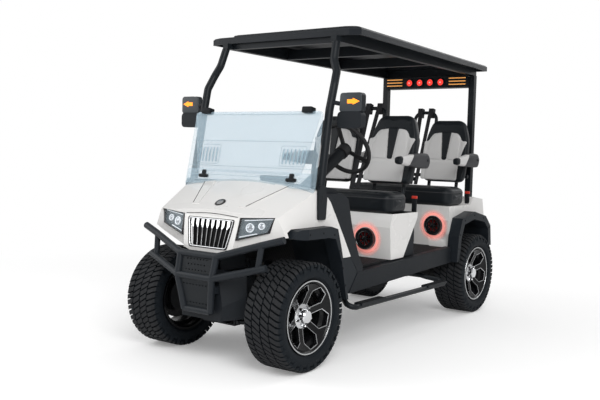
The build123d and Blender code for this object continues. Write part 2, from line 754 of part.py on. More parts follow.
def strut(side):
    """One front roof strut, bent in at the top, on its foot outside the cowl."""
    rise = roof_frame_z - 890
    shape = [(905, 482, 0), (819, 474, 0.563), (786, 478, 0.716), (745, 464, 0.806), (727, 430, 0.879)]
    points = [(x, y, 890 + rise * part) for x, y, part in shape] + [(684, 416, roof_frame_z + 25)]
    points = [(x, side * y, z) for x, y, z in points]
    foot_y0, foot_y1 = sorted((side * (cowl_half_width + seat_gap), side * (cowl_half_width + 14)))
    foot = side_plate([(936, 955), (930, 796), (866, 796), (856, 925), (880, 985), (922, 985)],
                      foot_y0, foot_y1, 12)
    tube = bent_tube(points, strut_radius, 60) - cowl_body(-seat_gap)
    tube -= block(600, 800, -500, 500, roof_frame_z, roof_frame_z + 80)
    return (tube + foot).solids().sort_by(SortBy.VOLUME)[-1]


def roof_plan(inset):
    """The roof's tapered outline, drawn in by the inset."""
    front, rear = roof_front_x - inset, roof_rear_x + inset
    half_f, half_r = roof_front_half - inset, roof_rear_half - inset
    return [(front, -half_f + 70), (front - 22, -half_f), (rear, -half_r), (rear, half_r),
            (front - 22, half_f), (front, half_f - 70)]


def roof_shell():
    """The moulded roof: a tapered tray, open below, with a raised centre."""
    outer = plan_plate(roof_plan(0), roof_top_z - roof_skirt, roof_top_z)
    outer = chamfer(outer.faces().sort_by(Axis.Z)[-1].edges(), 10)
    outer += plan_plate(roof_plan(85), roof_top_z - 5, roof_top_z + roof_crown, 40)
    outer -= plan_plate(roof_plan(97), roof_top_z - 60, roof_top_z + roof_crown - roof_wall, 30)
    return outer - plan_plate(roof_plan(roof_wall), roof_top_z - 60, roof_top_z - roof_wall)


def roof_frame():
    """Two rails and cross bars under the roof."""
    z0, z1 = roof_frame_z, roof_top_z - roof_wall - seat_gap
    zc = (z0 + z1) / 2
    frame = None
    for side in (-1, 1):
        rail = square_bar((640, side * 412, zc), (roof_rear_x + 20, side * pillar_y, zc), 40, z1 - z0)
        nose_top = roof_top_z - roof_skirt - seat_gap
        nose = square_bar((roof_front_x + 30, side * 411, (z0 + nose_top) / 2),
                          (630, side * 412, (z0 + nose_top) / 2), 40, nose_top - z0)
        frame = rail if frame is None else frame + rail
        frame += nose
    for x in (640, 100, -500, pillar_x):
        half = 400 if x > 0 else 390
        frame += block(x - 18, x + 18, -half, half, z0, z1)
    return frame


def rear_pillars():
    """Two square rear pillars, cut to the slope of the tail."""
    h = pillar_side / 2
    solids = []
    for side in (-1, 1):
        post = block(pillar_x - h, pillar_x + h, side * pillar_y - h, side * pillar_y + h,
                     780, roof_frame_z)
        solids.append((post - rear_body_block(0)).solids().sort_by(Axis.Z)[-1])
    return solids


def sound_bar():
    """The speaker and lamp bar between the rear pillars."""
    half = pillar_y - pillar_side / 2 - seat_gap
    z = roof_frame_z - 48
    bar_body = block(pillar_x - 45, pillar_x + 52, -half, half, z - 42, z + 42)
    for index in range(sound_lamp_count):
        y = (index - (sound_lamp_count - 1) / 2) * 92
        bar_body += bar((pillar_x + 50, y, z), (pillar_x + 60, y, z), 30)
    return bar_body


# Seats

def front_pod():
    """The white front seat base: a front wall and two cut-away sides."""
    w = panel_wall
    outer = [(80, floor_z(80)), (98, 700), (75, 785), (-261, 785), (-255, 745), (-180, 640),
             (-110, 540), (-79, floor_z(-79))]
    inner = [(80 - w, 300), (98 - w, 700), (75 - w, 785), (75 - w, 900), (-400, 900), (-400, 300)]
    shell = side_plate(outer, -body_half_width, body_half_width)
    shell -= side_plate(inner, -body_half_width + w, body_half_width - w)
    for side in (-1, 1):
        shell -= speaker_hole(88, side * 278, 618)
    return shell


def kick_panel():
    """The black seat base inside the white one, its rear wall and the ledge the backs stand on."""
    half = body_half_width - panel_wall - seat_gap
    x0, x1 = -235.0, 64.0
    outer = block(x0, x1, -half, half, floor_z(x0), 784)
    outer -= side_plate([(x1 + 1, 400), (x1 + 1, floor_z(x1)), (x0 - 1, floor_z(x0 - 1)), (x0 - 1, 400)],
                        -half - 1, half + 1)
    outer -= block(x0 + kick_wall, x1 + 20, -half + kick_wall, half - kick_wall, 300, 900)
    return outer + block(x0 - 38, x0 + 20, -half, half, seat_base_z - 9, seat_base_z - 1)


def rear_body_block(inset):
    """The rear body as a solid, drawn in by the inset."""
    i = inset
    low = 470 if i == 0 else 380
    points = [(-766 - i, low), (-766 - i, floor_z(-766)), (-740 - i, rear_seat_base_z - i),
              (-1100 - i * 0.4, rear_seat_base_z - i),
              (-1148 - i * 0.4, 860 - i), (-1318 + i, 839 - i), (-1348 + i, 735), (rear_end_x + i, 620),
              (rear_end_x + 3 + i, low)]
    return side_plate(points, -body_half_width + 5 + i, body_half_width - 5 - i)


rear_lip = [(-723, 405), (-742, 589), (-797, 717), (-999, 759), (-1205, 717), (-1298, 639), (-1320, 485)]
rear_lip_inner = [(-1272, 485), (-1258, 615), (-1185, 672), (-999, 703), (-835, 672), (-788, 575), (-767, 405)]


def rear_body():
    """The white rear body: seat base, wheel arches and tail as one shell."""
    shell = rear_body_block(0) - rear_body_block(panel_wall)
    arch = rear_lip + [(-1320, 380), (-723, 380)]
    for side in (-1, 1):
        y0, y1 = sorted((side * 290, side * 600))
        shell -= side_plate(arch, y0, y1)
        shell -= speaker_hole(-770, side * 325, 655)
    shell -= block(-800, -700, -body_half_width, body_half_width, 300, floor_z(-766))
    return shell.solids().sort_by()[-1]


def rear_flare(side):
    """The rear wheel-arch flare with its liner."""
    t = 8.0
    y0, y1 = sorted((side * (body_half_width - 5 + seat_gap), side * flare_half_width))
    lip = side_plate(rear_lip + rear_lip_inner, y0, y1)
    y0, y1 = sorted((side * 295, side * (body_half_width + 4)))
    liner = [(-778, 508), (-789, 590), (-833, 684), (-999, 716), (-1188, 684), (-1268, 624), (-1286, 500),
             (-1286 + t, 500), (-1268 + t, 618), (-1184, 684 - t), (-999, 716 - t), (-839, 684 - t),
             (-789 - t, 588), (-778 - t, 508)]
    return lip + side_plate(liner, y0, y1)


def cushion(x_front, x_rear, z0, z1):
    """A plain seat cushion."""
    body = block(x_rear, x_front, -body_half_width + 4, body_half_width - 4, z0, z1)
    return fillet(body.edges().filter_by(Axis.Z) + body.faces().sort_by(Axis.Z)[-1].edges(), 28)


def back_plane(x_low, x_high, set_back):
    """The leaning plane of a seat back's front face, moved back along its normal."""
    along = Vector(x_high - x_low, 0, back_high_z - back_low_z).normalized()
    forward = Vector(along.Z, 0, -along.X)
    origin = Vector(x_low, 0, back_low_z) - forward * set_back
    return Plane(origin=origin, x_dir=(0, 1, 0), z_dir=forward)


def seat_back(x_low, x_high, side, thickness):
    """One shaped seat back, standing on its leaning plane."""
    plane = back_plane(x_low, x_high, thickness)
    h = back_half
    outline = [(-h + 14, 0), (h - 14, 0), (h, 210), (h - 8, 335), (h - 68, 470), (-h + 68, 470),
               (-h + 8, 335), (-h, 210)]
    outline = [(side * (back_y + a), b) for a, b in outline]
    shape = flat(outline, 30)
    back = extrude(plane * shape, amount=thickness, dir=plane.z_dir)
    return fillet(back.faces().sort_by(Axis((0, 0, 0), plane.z_dir))[-1].edges(), 18)


def seat_frame(x_low, x_high, thickness, base_z):
    """The tube frame behind a pair of seats, with its belt hoop and armrest pivots."""
    r = back_tube_radius
    plane = back_plane(x_low, x_high, thickness + r + seat_gap)
    low = (base_z - 40 - back_low_z) / plane.y_dir.Z

    def on_frame(y, height):
        return plane.from_local_coords(Vector(y, height, 0))

    frame = bent_tube([on_frame(-95, low), on_frame(-95, 560), on_frame(95, 560), on_frame(95, low)], r, 60)
    for side in (-1, 1):
        frame += bar(on_frame(side * 330, low), on_frame(side * 330, armrest_height + 10), r)
    for height in (60, armrest_height):
        frame += bar(on_frame(-armrest_y + 40, height), on_frame(armrest_y - 40, height), r)
    for side in (-1, 1):
        frame += bar(on_frame(side * 415, armrest_height),
                     on_frame(side * (armrest_y + armrest_half + 6), armrest_height), 9)
    return frame - block(x_low - 200, x_low + 100, -460, 460, base_z - 100, base_z)


def armrest_pivot(back, thickness):
    """Where the armrest pins of a seat row lie, seen from the side."""
    plane = back_plane(*back, thickness + back_tube_radius + seat_gap)
    point = plane.from_local_coords(Vector(0, armrest_height, 0))
    return (point.X, point.Z)


def armrest(x_front, pivot, side):
    """A padded armrest with a rounded rear end round its pivot pin."""
    px, pz = pivot
    z = 1128.0
    outline = [(x_front, z - 22), (x_front, z + 20), (x_front - 40, z + 28), (px + 90, pz + 50),
               (px - 25, pz + 46), (px - 52, pz), (px - 25, pz - 46), (px + 90, pz - 46),
               (x_front - 110, z - 36)]
    y0, y1 = sorted((side * (armrest_y - armrest_half), side * (armrest_y + armrest_half)))
    rest = side_plate(outline, y0, y1, 14)
    return rest - bar((px, y0 - 5, pz), (px, y1 + 5, pz), 9 + running_clearance)


def speaker_hole(x, y, z):
    """The round hole that a speaker sits in."""
    return bar((x - 40, y, z), (x + 60, y, z), speaker_radius + seat_gap)


def speaker(x, y, z):
    """A round speaker in the front wall of a seat base."""
    basket = bar((x - 30, y, z), (x + 12, y, z), speaker_radius)
    rim_ring = bar((x + 12, y, z), (x + 18, y, z), speaker_radius + 6)
    return basket + rim_ring


def mirror_unit(side):
    """A door mirror on its arm."""
    inner, pod_inner, outer = 562, 522, 678
    mirror_head = block(770, 808, *sorted((side * inner, side * outer)), 1384, 1490)
    mirror_head = fillet(mirror_head.edges().filter_by(Axis.X), 20)
    pod = block(766, 812, *sorted((side * pod_inner, side * outer)), 1298, 1388)
    pod = fillet(pod.edges().filter_by(Axis.X), 24)
    arm = bar((812, side * 478, 1440), (790, side * (inner + 10), 1424), 12)
    return (mirror_head + pod + arm) - strut(side)


def on_column(distance):
    """The plane across the steering column, this far ahead of the wheel's centre."""
    lean = math.radians(column_lean)
    ahead = Vector(math.cos(lean), 0, -math.sin(lean))
    origin = Vector(column_x, column_y, column_z) + ahead * distance
    return Plane(origin=origin, x_dir=(0, 1, 0), z_dir=ahead)


def steering_wheel():
    """A three-spoke wheel with its boss."""
    ring = on_column(0) * Torus(wheel_ring_radius, 14)
    boss = extrude(on_column(0) * Circle(42), amount=60)
    shaft = extrude(on_column(50) * Circle(column_shaft_radius), amount=90)
    wheel = ring + boss + shaft
    for angle in (90, 210, 330):
        spoke = Pos(wheel_ring_radius / 2 + 10, 0, 0) * Rectangle(wheel_ring_radius - 30, 26)
        wheel += extrude(on_column(4) * (Rot(0, 0, angle) * spoke), amount=10)
    return wheel


def steering_column():
    """The column housing from the wheel into the dash."""
    housing = extrude(on_column(66) * Circle(column_radius), amount=420)
    housing -= extrude(on_column(60) * Circle(column_shaft_radius + running_clearance), amount=86)
    dash_block = side_plate(dash_outline, -cowl_half_width, cowl_half_width)
    return (housing - dash_block).solids().sort_by(SortBy.VOLUME)[-1]


def tail_lamp(side):
    """A flat red lamp on the tail, beside the arch."""
    y = side * (body_half_width - 60)
    lamp = block(rear_end_x + 2, -1200, y - 38, y + 38, 745, 800)
    return (lamp & rear_body_block(-14)) - rear_body_block(-seat_gap)


def rear_bumper():
    """The black step across the tail, below the white body."""
    y = body_half_width - 30
    z0 = rail_bottom_z + 10
    step = block(rear_end_x + 1, rear_end_x + 45, -y, y, z0, rail_top_z + 8)
    step = fillet(step.edges().filter_by(Axis.X), 18)
    for side in (-1, 1):
        foot = block(rear_end_x + 40, rear_end_x + 60, side * rail_y - 30, side * rail_y + 30,
                     z0, rail_top_z)
        step += foot
    return step


def seat_belt(x_low, x_high, thickness, side, base_z):
    """A belt from its guide on the hoop, down in front of the gap between the backs."""
    plane = back_plane(x_low, x_high, thickness + back_tube_radius)
    r = back_tube_radius

    def beside(y, height, ahead):
        point = plane.from_local_coords(Vector(y, height, ahead))
        return (point.X, point.Y, point.Z)

    y = side * 48
    guide = square_bar(beside(y, 520, 0), beside(y, 592, 0), 40, 40)
    corners = [(-95, 400), (-95, 560), (95, 560), (95, 400)]
    hoop = bent_tube([beside(*corner, -seat_gap) for corner in corners], r, 60)
    guide -= hoop
    low = (base_z + 135 - back_low_z) / plane.y_dir.Z
    strap = square_bar(beside(side * 22, low, thickness + 18), beside(side * 42, 556, 18), 34, 3)
    return [guide, strap - guide]


place_wheels()
front_running_gear()
keep("chassis_frame", chassis())
keep("rear_axle", rear_axle())
keep("rear_springs", leaf_spring(1), leaf_spring(-1))
keep("battery_pack", power_pack())
keep("floor_pan", floor_pan())
keep("sills", sill(1), sill(-1))
keep("running_boards", running_board(1), running_board(-1))
cowl_solid = front_cowl()
keep("front_cowl", cowl_solid)
keep("grille", grille())
keep("headlamps", headlamp(1), headlamp(-1))
keep("front_flares", front_flare(1), front_flare(-1))
keep("front_shroud", front_shroud())
keep("brush_guard", brush_guard())
keep("guard_panels", guard_panels())
keep("cowl_trims", cowl_trim(1), cowl_trim(-1))
dash_solid = dash()
keep("dash", dash_solid)
keep("steering_column", steering_column())
keep("steering_wheel", steering_wheel())
keep("screen_lower", lower_pane())
keep("screen_upper", upper_pane())
keep("screen_clips", screen_clips())
keep("screen_struts", strut(1), strut(-1))
keep("roof", roof_shell())
keep("roof_frame", roof_frame())
keep("rear_body", rear_body())
keep("tail_lamps", tail_lamp(1), tail_lamp(-1))
keep("rear_bumper", rear_bumper())
keep("rear_pillars", rear_pillars())
keep("sound_bar", sound_bar())
keep("front_pod", front_pod())
keep("kick_panel", kick_panel())
keep("rear_flares", rear_flare(1), rear_flare(-1))
keep("front_cushion", cushion(106, -142, seat_base_z + seat_gap, 915))
keep("rear_cushion", cushion(-733, -1010, rear_seat_base_z + seat_gap, 930))
keep("front_seat_backs", [seat_back(*front_back_x, side, front_back_thickness) for side in (1, -1)])
keep("rear_seat_backs", [seat_back(*rear_back_x, side, rear_back_thickness) for side in (1, -1)])
keep("seat_frames", seat_frame(*front_back_x, front_back_thickness, seat_base_z - 1),
     seat_frame(*rear_back_x, rear_back_thickness, rear_seat_base_z))


for name, side in (("left", 1), ("right", -1)):
    front_pivot = armrest_pivot(front_back_x, front_back_thickness)
    rear_pivot = armrest_pivot(rear_back_x, rear_back_thickness)
    keep("armrest_front_" + name, armrest(40, front_pivot, side))
    keep("armrest_rear_" + name, armrest(-800, rear_pivot, side))
belts = []
for side in (1, -1):
    belts += seat_belt(*front_back_x, front_back_thickness, side, seat_base_z)
    belts += seat_belt(*rear_back_x, rear_back_thickness, side, rear_seat_base_z)
keep("seat_belts", belts)
keep("speakers", [speaker(98, s * 278, 618) for s in (-1, 1)], [speaker(-752, s * 325, 655) for s in (-1, 1)])
keep("mirrors", mirror_unit(1), mirror_unit(-1))
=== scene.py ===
import bpy
import bmesh
import json
import math
import random
from mathutils import Matrix, Vector

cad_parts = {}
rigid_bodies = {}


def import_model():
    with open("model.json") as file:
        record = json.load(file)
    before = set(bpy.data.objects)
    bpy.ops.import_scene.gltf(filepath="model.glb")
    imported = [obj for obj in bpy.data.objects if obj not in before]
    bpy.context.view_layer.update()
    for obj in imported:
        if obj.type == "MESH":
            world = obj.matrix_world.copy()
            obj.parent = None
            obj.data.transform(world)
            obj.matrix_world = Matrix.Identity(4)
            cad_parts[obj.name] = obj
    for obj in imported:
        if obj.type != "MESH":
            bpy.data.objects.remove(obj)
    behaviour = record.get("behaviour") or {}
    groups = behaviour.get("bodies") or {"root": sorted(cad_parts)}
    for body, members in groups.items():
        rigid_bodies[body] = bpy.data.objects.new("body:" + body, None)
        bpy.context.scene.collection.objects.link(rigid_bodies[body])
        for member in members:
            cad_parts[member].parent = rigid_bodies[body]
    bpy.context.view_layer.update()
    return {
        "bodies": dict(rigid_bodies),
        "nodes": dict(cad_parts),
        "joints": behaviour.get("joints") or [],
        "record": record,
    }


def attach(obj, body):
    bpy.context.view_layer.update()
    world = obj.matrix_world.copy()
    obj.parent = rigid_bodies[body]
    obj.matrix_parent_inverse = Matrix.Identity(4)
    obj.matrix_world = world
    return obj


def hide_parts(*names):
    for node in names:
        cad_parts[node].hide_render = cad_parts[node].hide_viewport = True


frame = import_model()
nodes = frame["nodes"]
print("frame loaded:", len(nodes), "nodes")


# Helpers for modelling

sides = (("Left", 1), ("Right", -1))
bevelFrom = math.radians(30)
smoothUnder = math.radians(35)


def deselectAll():
    if bpy.context.object and bpy.context.object.mode != "OBJECT":
        bpy.ops.object.mode_set(mode="OBJECT")
    bpy.ops.object.select_all(action="DESELECT")


def onlySelect(piece):
    deselectAll()
    piece.select_set(True)
    bpy.context.view_layer.objects.active = piece


def settle(piece, name):
    # place, turn and size go into the mesh, as a CAD node's do
    onlySelect(piece)
    bpy.ops.object.transform_apply(location=True, rotation=True, scale=True)
    piece.name = name
    piece.data.name = name
    return piece


def editAll(piece):
    onlySelect(piece)
    bpy.ops.object.mode_set(mode="EDIT")
    bpy.ops.mesh.select_all(action="SELECT")


def endEdit():
    # every face is turned outwards before edit mode ends
    bpy.ops.mesh.select_all(action="SELECT")
    bpy.ops.mesh.normals_make_consistent(inside=False)
    bpy.ops.object.mode_set(mode="OBJECT")


def modify(piece, name, kind, **values):
    # a modifier is added with its values and applied at once
    onlySelect(piece)
    mod = piece.modifiers.new(name, kind)
    for key, value in values.items():
        setattr(mod, key, value)
    bpy.ops.object.modifier_apply(modifier=mod.name)
    return piece


def bevelEdges(piece, width, segments=2):
    modify(piece, "edgeBevel", "BEVEL", width=width, segments=segments, limit_method="ANGLE",
           angle_limit=bevelFrom)
    bpy.ops.object.shade_smooth_by_angle(angle=smoothUnder)
    return piece


def roundBlock(name, low, high, bevel=0.003, segments=2):
    # a block between two corners with its edges rounded
    deselectAll()
    middle = [(a + b) / 2 for a, b in zip(low, high)]
    bpy.ops.mesh.primitive_cube_add(size=1, location=middle)
    piece = bpy.context.object
    piece.scale = [b - a for a, b in zip(low, high)]
    settle(piece, name)
    if bevel:
        bevelEdges(piece, bevel, segments)
    return piece


def outlinePlate(name, points, push, bevel=0.0, segments=2):
    # a flat outline is drawn from a filled circle, then extruded
    deselectAll()
    bpy.ops.mesh.primitive_circle_add(vertices=len(points), radius=0.1, fill_type="NGON")
    piece = bpy.context.object
    for vertex, point in zip(piece.data.vertices, points):
        vertex.co = point
    editAll(piece)
    bpy.ops.mesh.extrude_region_move(TRANSFORM_OT_translate={"value": tuple(push)})
    endEdit()
    settle(piece, name)
    if bevel:
        bevelEdges(piece, bevel, segments)
    return piece


def spunRing(name, profile, steps=96, axis=(0, 1, 0), merge=0.00005, place=None):
    # a line in the plane that holds the axis is spun all the way round
    deselectAll()
    bpy.ops.mesh.primitive_circle_add(vertices=len(profile), radius=0.1, fill_type="NOTHING")
    piece = bpy.context.object
    for vertex, point in zip(piece.data.vertices, profile):
        vertex.co = point
    editAll(piece)
    bpy.ops.mesh.spin(steps=steps, angle=2 * math.pi, center=(0, 0, 0), axis=axis)
    bpy.ops.mesh.select_all(action="SELECT")
    bpy.ops.mesh.remove_doubles(threshold=merge)
    endEdit()
    if place is not None:
        piece.matrix_world = place
    settle(piece, name)
    onlySelect(piece)
    bpy.ops.object.shade_smooth_by_angle(angle=smoothUnder)
    return piece


def roundTurned(name, profile, place, steps=48):
    # a turned part: profile pairs (along, radius) run from pole to pole, placed by a matrix
    ring = [(radius, 0, along) for along, radius in profile]
    return spunRing(name, ring, steps, (0, 0, 1), 0.00003, place)


def facing(place, ahead, up=(0, 0, 1)):
    # a frame at a place whose Z looks along ahead
    z = Vector(ahead).normalized()
    x = Vector(up).cross(z)
    if x.length < 0.001:
        x = Vector((1, 0, 0))
    x.normalize()
    y = z.cross(x)
    turn = Matrix((x, y, z)).transposed().to_4x4()
    return Matrix.Translation(place) @ turn


def tubeRun(name, points, radius, sides=10, closed=False):
    # a round tube on a smooth line
    deselectAll()
    bpy.ops.curve.primitive_nurbs_path_add()
    piece = bpy.context.object
    line = piece.data
    line.splines.clear()
    spline = line.splines.new("NURBS")
    spline.points.add(len(points) - 1)
    for slot, point in zip(spline.points, points):
        slot.co = (*point, 1)
    spline.order_u = 3
    spline.use_endpoint_u = not closed
    spline.use_cyclic_u = closed
    spline.resolution_u = 6
    line.bevel_depth = radius
    line.bevel_resolution = max(1, sides // 4)
    line.use_fill_caps = True
    onlySelect(piece)
    bpy.ops.object.convert(target="MESH")
    settle(piece, name)
    onlySelect(piece)
    bpy.ops.object.shade_smooth()
    return piece


def joined(name, pieces):
    deselectAll()
    for piece in pieces:
        piece.select_set(True)
    bpy.context.view_layer.objects.active = pieces[0]
    if len(pieces) > 1:
        bpy.ops.object.join()
    piece = bpy.context.object
    piece.name = name
    piece.data.name = name
    return piece


def copyOf(piece, name, move=(0, 0, 0)):
    deselectAll()
    twin = piece.copy()
    twin.data = piece.data.copy()
    bpy.context.scene.collection.objects.link(twin)
    twin.location = move
    return settle(twin, name)


def mirrorOf(piece, name):
    # the same piece on the other side of the cart
    twin = copyOf(piece, name)
    twin.scale = (1, -1, 1)
    settle(twin, name)
    editAll(twin)
    endEdit()
    return twin


def finish(piece, material, body="cart"):
    piece.data.materials.clear()
    piece.data.materials.append(material)
    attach(piece, body)
    return piece


# Shader groups

def newGroup(name, inputs, outputs):
    group = bpy.data.node_groups.new(name, "ShaderNodeTree")
    for label, kind, value in inputs:
        socket = group.interface.new_socket(name=label, in_out="INPUT", socket_type=kind)
        socket.default_value = value
    for label, kind in outputs:
        group.interface.new_socket(name=label, in_out="OUTPUT", socket_type=kind)
    entry = group.nodes.new("NodeGroupInput")
    leave = group.nodes.new("NodeGroupOutput")
    return group, entry, leave


def link(tree, source, target):
    tree.links.new(source, target)


def mathNode(tree, kind, first, second=None, clamp=False):
    node = tree.nodes.new("ShaderNodeMath")
    node.operation = kind
    node.use_clamp = clamp
    for index, value in enumerate((first, second)):
        if value is None:
            continue
        if isinstance(value, (int, float)):
            node.inputs[index].default_value = value
        else:
            link(tree, value, node.inputs[index])
    return node.outputs[0]


def colourMix(tree, factor, first, second):
    node = tree.nodes.new("ShaderNodeMix")
    node.data_type = "RGBA"
    sockets = [s for s in node.inputs if s.type == "RGBA"]
    if isinstance(factor, (int, float)):
        node.inputs[0].default_value = factor
    else:
        link(tree, factor, node.inputs[0])
    for socket, value in zip(sockets, (first, second)):
        if isinstance(value, tuple):
            socket.default_value = (*value[:3], 1)
        else:
            link(tree, value, socket)
    return [s for s in node.outputs if s.type == "RGBA"][0]


def makeGrainGroup():
    # fine moulded or cast grain: a height and a soft mottling mask
    group, entry, leave = newGroup("mouldedGrain", [
        ("Vector", "NodeSocketVector", (0, 0, 0)), ("Grain Scale", "NodeSocketFloat", 900.0),
        ("Mottle Scale", "NodeSocketFloat", 9.0)],
        [("Height", "NodeSocketFloat"), ("Mottle", "NodeSocketFloat")])
    cells = group.nodes.new("ShaderNodeTexVoronoi")
    cells.feature = "F1"
    link(group, entry.outputs["Vector"], cells.inputs["Vector"])
    link(group, entry.outputs["Grain Scale"], cells.inputs["Scale"])
    fine = group.nodes.new("ShaderNodeTexNoise")
    fine.inputs["Detail"].default_value = 3
    link(group, entry.outputs["Vector"], fine.inputs["Vector"])
    link(group, mathNode(group, "MULTIPLY", entry.outputs["Grain Scale"], 0.6), fine.inputs["Scale"])
    cloud = group.nodes.new("ShaderNodeTexNoise")
    cloud.inputs["Detail"].default_value = 4
    link(group, entry.outputs["Vector"], cloud.inputs["Vector"])
    link(group, entry.outputs["Mottle Scale"], cloud.inputs["Scale"])
    height = mathNode(group, "ADD", mathNode(group, "MULTIPLY", cells.outputs["Distance"], 0.6),
                      mathNode(group, "MULTIPLY", fine.outputs["Fac"], 0.6))
    link(group, height, leave.inputs["Height"])
    link(group, cloud.outputs["Fac"], leave.inputs["Mottle"])
    return group


def makeDustGroup():
    # road dust: strongest near the ground, broken up by noise
    group, entry, leave = newGroup("roadDust", [
        ("Vector", "NodeSocketVector", (0, 0, 0)), ("Top", "NodeSocketFloat", 0.5),
        ("Amount", "NodeSocketFloat", 0.2)], [("Mask", "NodeSocketFloat")])
    split = group.nodes.new("ShaderNodeSeparateXYZ")
    link(group, entry.outputs["Vector"], split.inputs[0])
    rise = mathNode(group, "DIVIDE", split.outputs["Z"], entry.outputs["Top"], clamp=True)
    low = mathNode(group, "SUBTRACT", 1.0, rise, clamp=True)
    cloud = group.nodes.new("ShaderNodeTexNoise")
    cloud.inputs["Scale"].default_value = 14
    cloud.inputs["Detail"].default_value = 6
    link(group, entry.outputs["Vector"], cloud.inputs["Vector"])
    patch = mathNode(group, "MULTIPLY", low, cloud.outputs["Fac"])
    link(group, mathNode(group, "MULTIPLY", patch, entry.outputs["Amount"], clamp=True),
         leave.inputs["Mask"])
    return group


grainGroup = makeGrainGroup()
dustGroup = makeDustGroup()


# Materials

def surface(name, colour, second=None, rough=0.5, roughVary=0.08, metallic=0.0, coat=0.0, coatRough=0.1,
            grain=900.0, bump=0.1, bumpDistance=0.0004, mottle=9.0, dust=0.0, dustTop=0.5,
            specular=0.2, sheen=0.0, pattern=None):
    # one shader recipe for opaque surfaces: mottled colour, grain, uneven gloss and a little dust
    material = bpy.data.materials.new(name)
    material.use_nodes = True
    tree = material.node_tree
    shader = tree.nodes["Principled BSDF"]
    place = tree.nodes.new("ShaderNodeTexCoord").outputs["Object"]
    grainNode = tree.nodes.new("ShaderNodeGroup")
    grainNode.node_tree = grainGroup
    grainNode.inputs["Grain Scale"].default_value = grain
    grainNode.inputs["Mottle Scale"].default_value = mottle
    link(tree, place, grainNode.inputs["Vector"])
    second = second or tuple(min(1, c * 0.86) for c in colour)
    base = colourMix(tree, grainNode.outputs["Mottle"], colour, second)
    height = grainNode.outputs["Height"]
    if pattern:
        base, height = pattern(tree, place, base, height)
    if dust:
        dustNode = tree.nodes.new("ShaderNodeGroup")
        dustNode.node_tree = dustGroup
        dustNode.inputs["Top"].default_value = dustTop
        dustNode.inputs["Amount"].default_value = dust
        link(tree, place, dustNode.inputs["Vector"])
        base = colourMix(tree, dustNode.outputs["Mask"], base, (0.16, 0.155, 0.145))
    link(tree, base, shader.inputs["Base Color"])
    uneven = tree.nodes.new("ShaderNodeMapRange")
    uneven.inputs["To Min"].default_value = max(0.02, rough - roughVary)
    uneven.inputs["To Max"].default_value = min(1.0, rough + roughVary)
    link(tree, grainNode.outputs["Mottle"], uneven.inputs["Value"])
    link(tree, uneven.outputs["Result"], shader.inputs["Roughness"])
    shader.inputs["Metallic"].default_value = metallic
    shader.inputs["Coat Weight"].default_value = coat
    shader.inputs["Coat Roughness"].default_value = coatRough
    shader.inputs["Specular IOR Level"].default_value = specular
    shader.inputs["Sheen Weight"].default_value = sheen
    lift = tree.nodes.new("ShaderNodeBump")
    lift.inputs["Strength"].default_value = bump
    lift.inputs["Distance"].default_value = bumpDistance
    link(tree, height, lift.inputs["Height"])
    link(tree, lift.outputs["Normal"], shader.inputs["Normal"])
    return material


def ribPattern(axis, perMetre, depth):
    # parallel ribs for mats and treads
    def apply(tree, place, base, height):
        split = tree.nodes.new("ShaderNodeSeparateXYZ")
        link(tree, place, split.inputs[0])
        wave = mathNode(tree, "SINE", mathNode(tree, "MULTIPLY", split.outputs[axis],
                                               perMetre * 2 * math.pi))
        ridge = mathNode(tree, "MULTIPLY", wave, depth)
        return base, mathNode(tree, "ADD", height, ridge)
    return apply


def glowing(name, colour, strength, rough=0.3):
    material = surface(name, colour, rough=rough, bump=0.02, grain=400)
    shader = material.node_tree.nodes["Principled BSDF"]
    shader.inputs["Emission Color"].default_value = (*colour, 1)
    shader.inputs["Emission Strength"].default_value = strength
    return material


def clearGlass(name, tint, rough=0.02, alpha=0.3, ior=1.45, streak=0.15):
    # see-through sheet: clear where looked through, with faint smears in its gloss
    material = bpy.data.materials.new(name)
    material.use_nodes = True
    tree = material.node_tree
    shader = tree.nodes["Principled BSDF"]
    shader.inputs["Base Color"].default_value = (*tint, 1)
    shader.inputs["Alpha"].default_value = alpha
    shader.inputs["IOR"].default_value = ior
    shader.inputs["Specular IOR Level"].default_value = 0.6
    place = tree.nodes.new("ShaderNodeTexCoord").outputs["Object"]
    smear = tree.nodes.new("ShaderNodeTexNoise")
    smear.inputs["Scale"].default_value = 6
    smear.inputs["Detail"].default_value = 5
    link(tree, place, smear.inputs["Vector"])
    spread = tree.nodes.new("ShaderNodeMapRange")
    spread.inputs["To Min"].default_value = rough
    spread.inputs["To Max"].default_value = rough + streak
    link(tree, smear.outputs["Fac"], spread.inputs["Value"])
    link(tree, spread.outputs["Result"], shader.inputs["Roughness"])
    tone = colourMix(tree, smear.outputs["Fac"], tint, tuple(c * 0.94 for c in tint))
    link(tree, tone, shader.inputs["Base Color"])
    return material


pearlPaint = surface("pearlPaint", (0.80, 0.79, 0.775), (0.77, 0.76, 0.745), rough=0.28, roughVary=0.04,
                     coat=0.8, coatRough=0.04, grain=1500, bump=0.03, bumpDistance=0.0002, mottle=5,
                     specular=0.5)
powderBlack = surface("powderBlack", (0.0065, 0.0085, 0.011), (0.011, 0.014, 0.017), rough=0.42,
                      grain=1100, bump=0.12, dust=0.015, dustTop=0.6)
powderGraphite = surface("powderGraphite", (0.013, 0.016, 0.020), (0.020, 0.024, 0.029), rough=0.4,
                         grain=1000, bump=0.15, dust=0.015, dustTop=0.6)
castIron = surface("castIron", (0.012, 0.013, 0.015), (0.022, 0.022, 0.023), rough=0.62, grain=350,
                   bump=0.35, bumpDistance=0.001, dust=0.06, dustTop=0.55)
springSteel = surface("springSteel", (0.05, 0.05, 0.052), (0.09, 0.08, 0.075), rough=0.5, metallic=0.5,
                      grain=500, bump=0.2, dust=0.06, dustTop=0.55)
grainPlastic = surface("grainPlastic", (0.008, 0.010, 0.013), (0.013, 0.016, 0.020), rough=0.52,
                       grain=1400, bump=0.25, bumpDistance=0.0005, dust=0.01, dustTop=0.5)
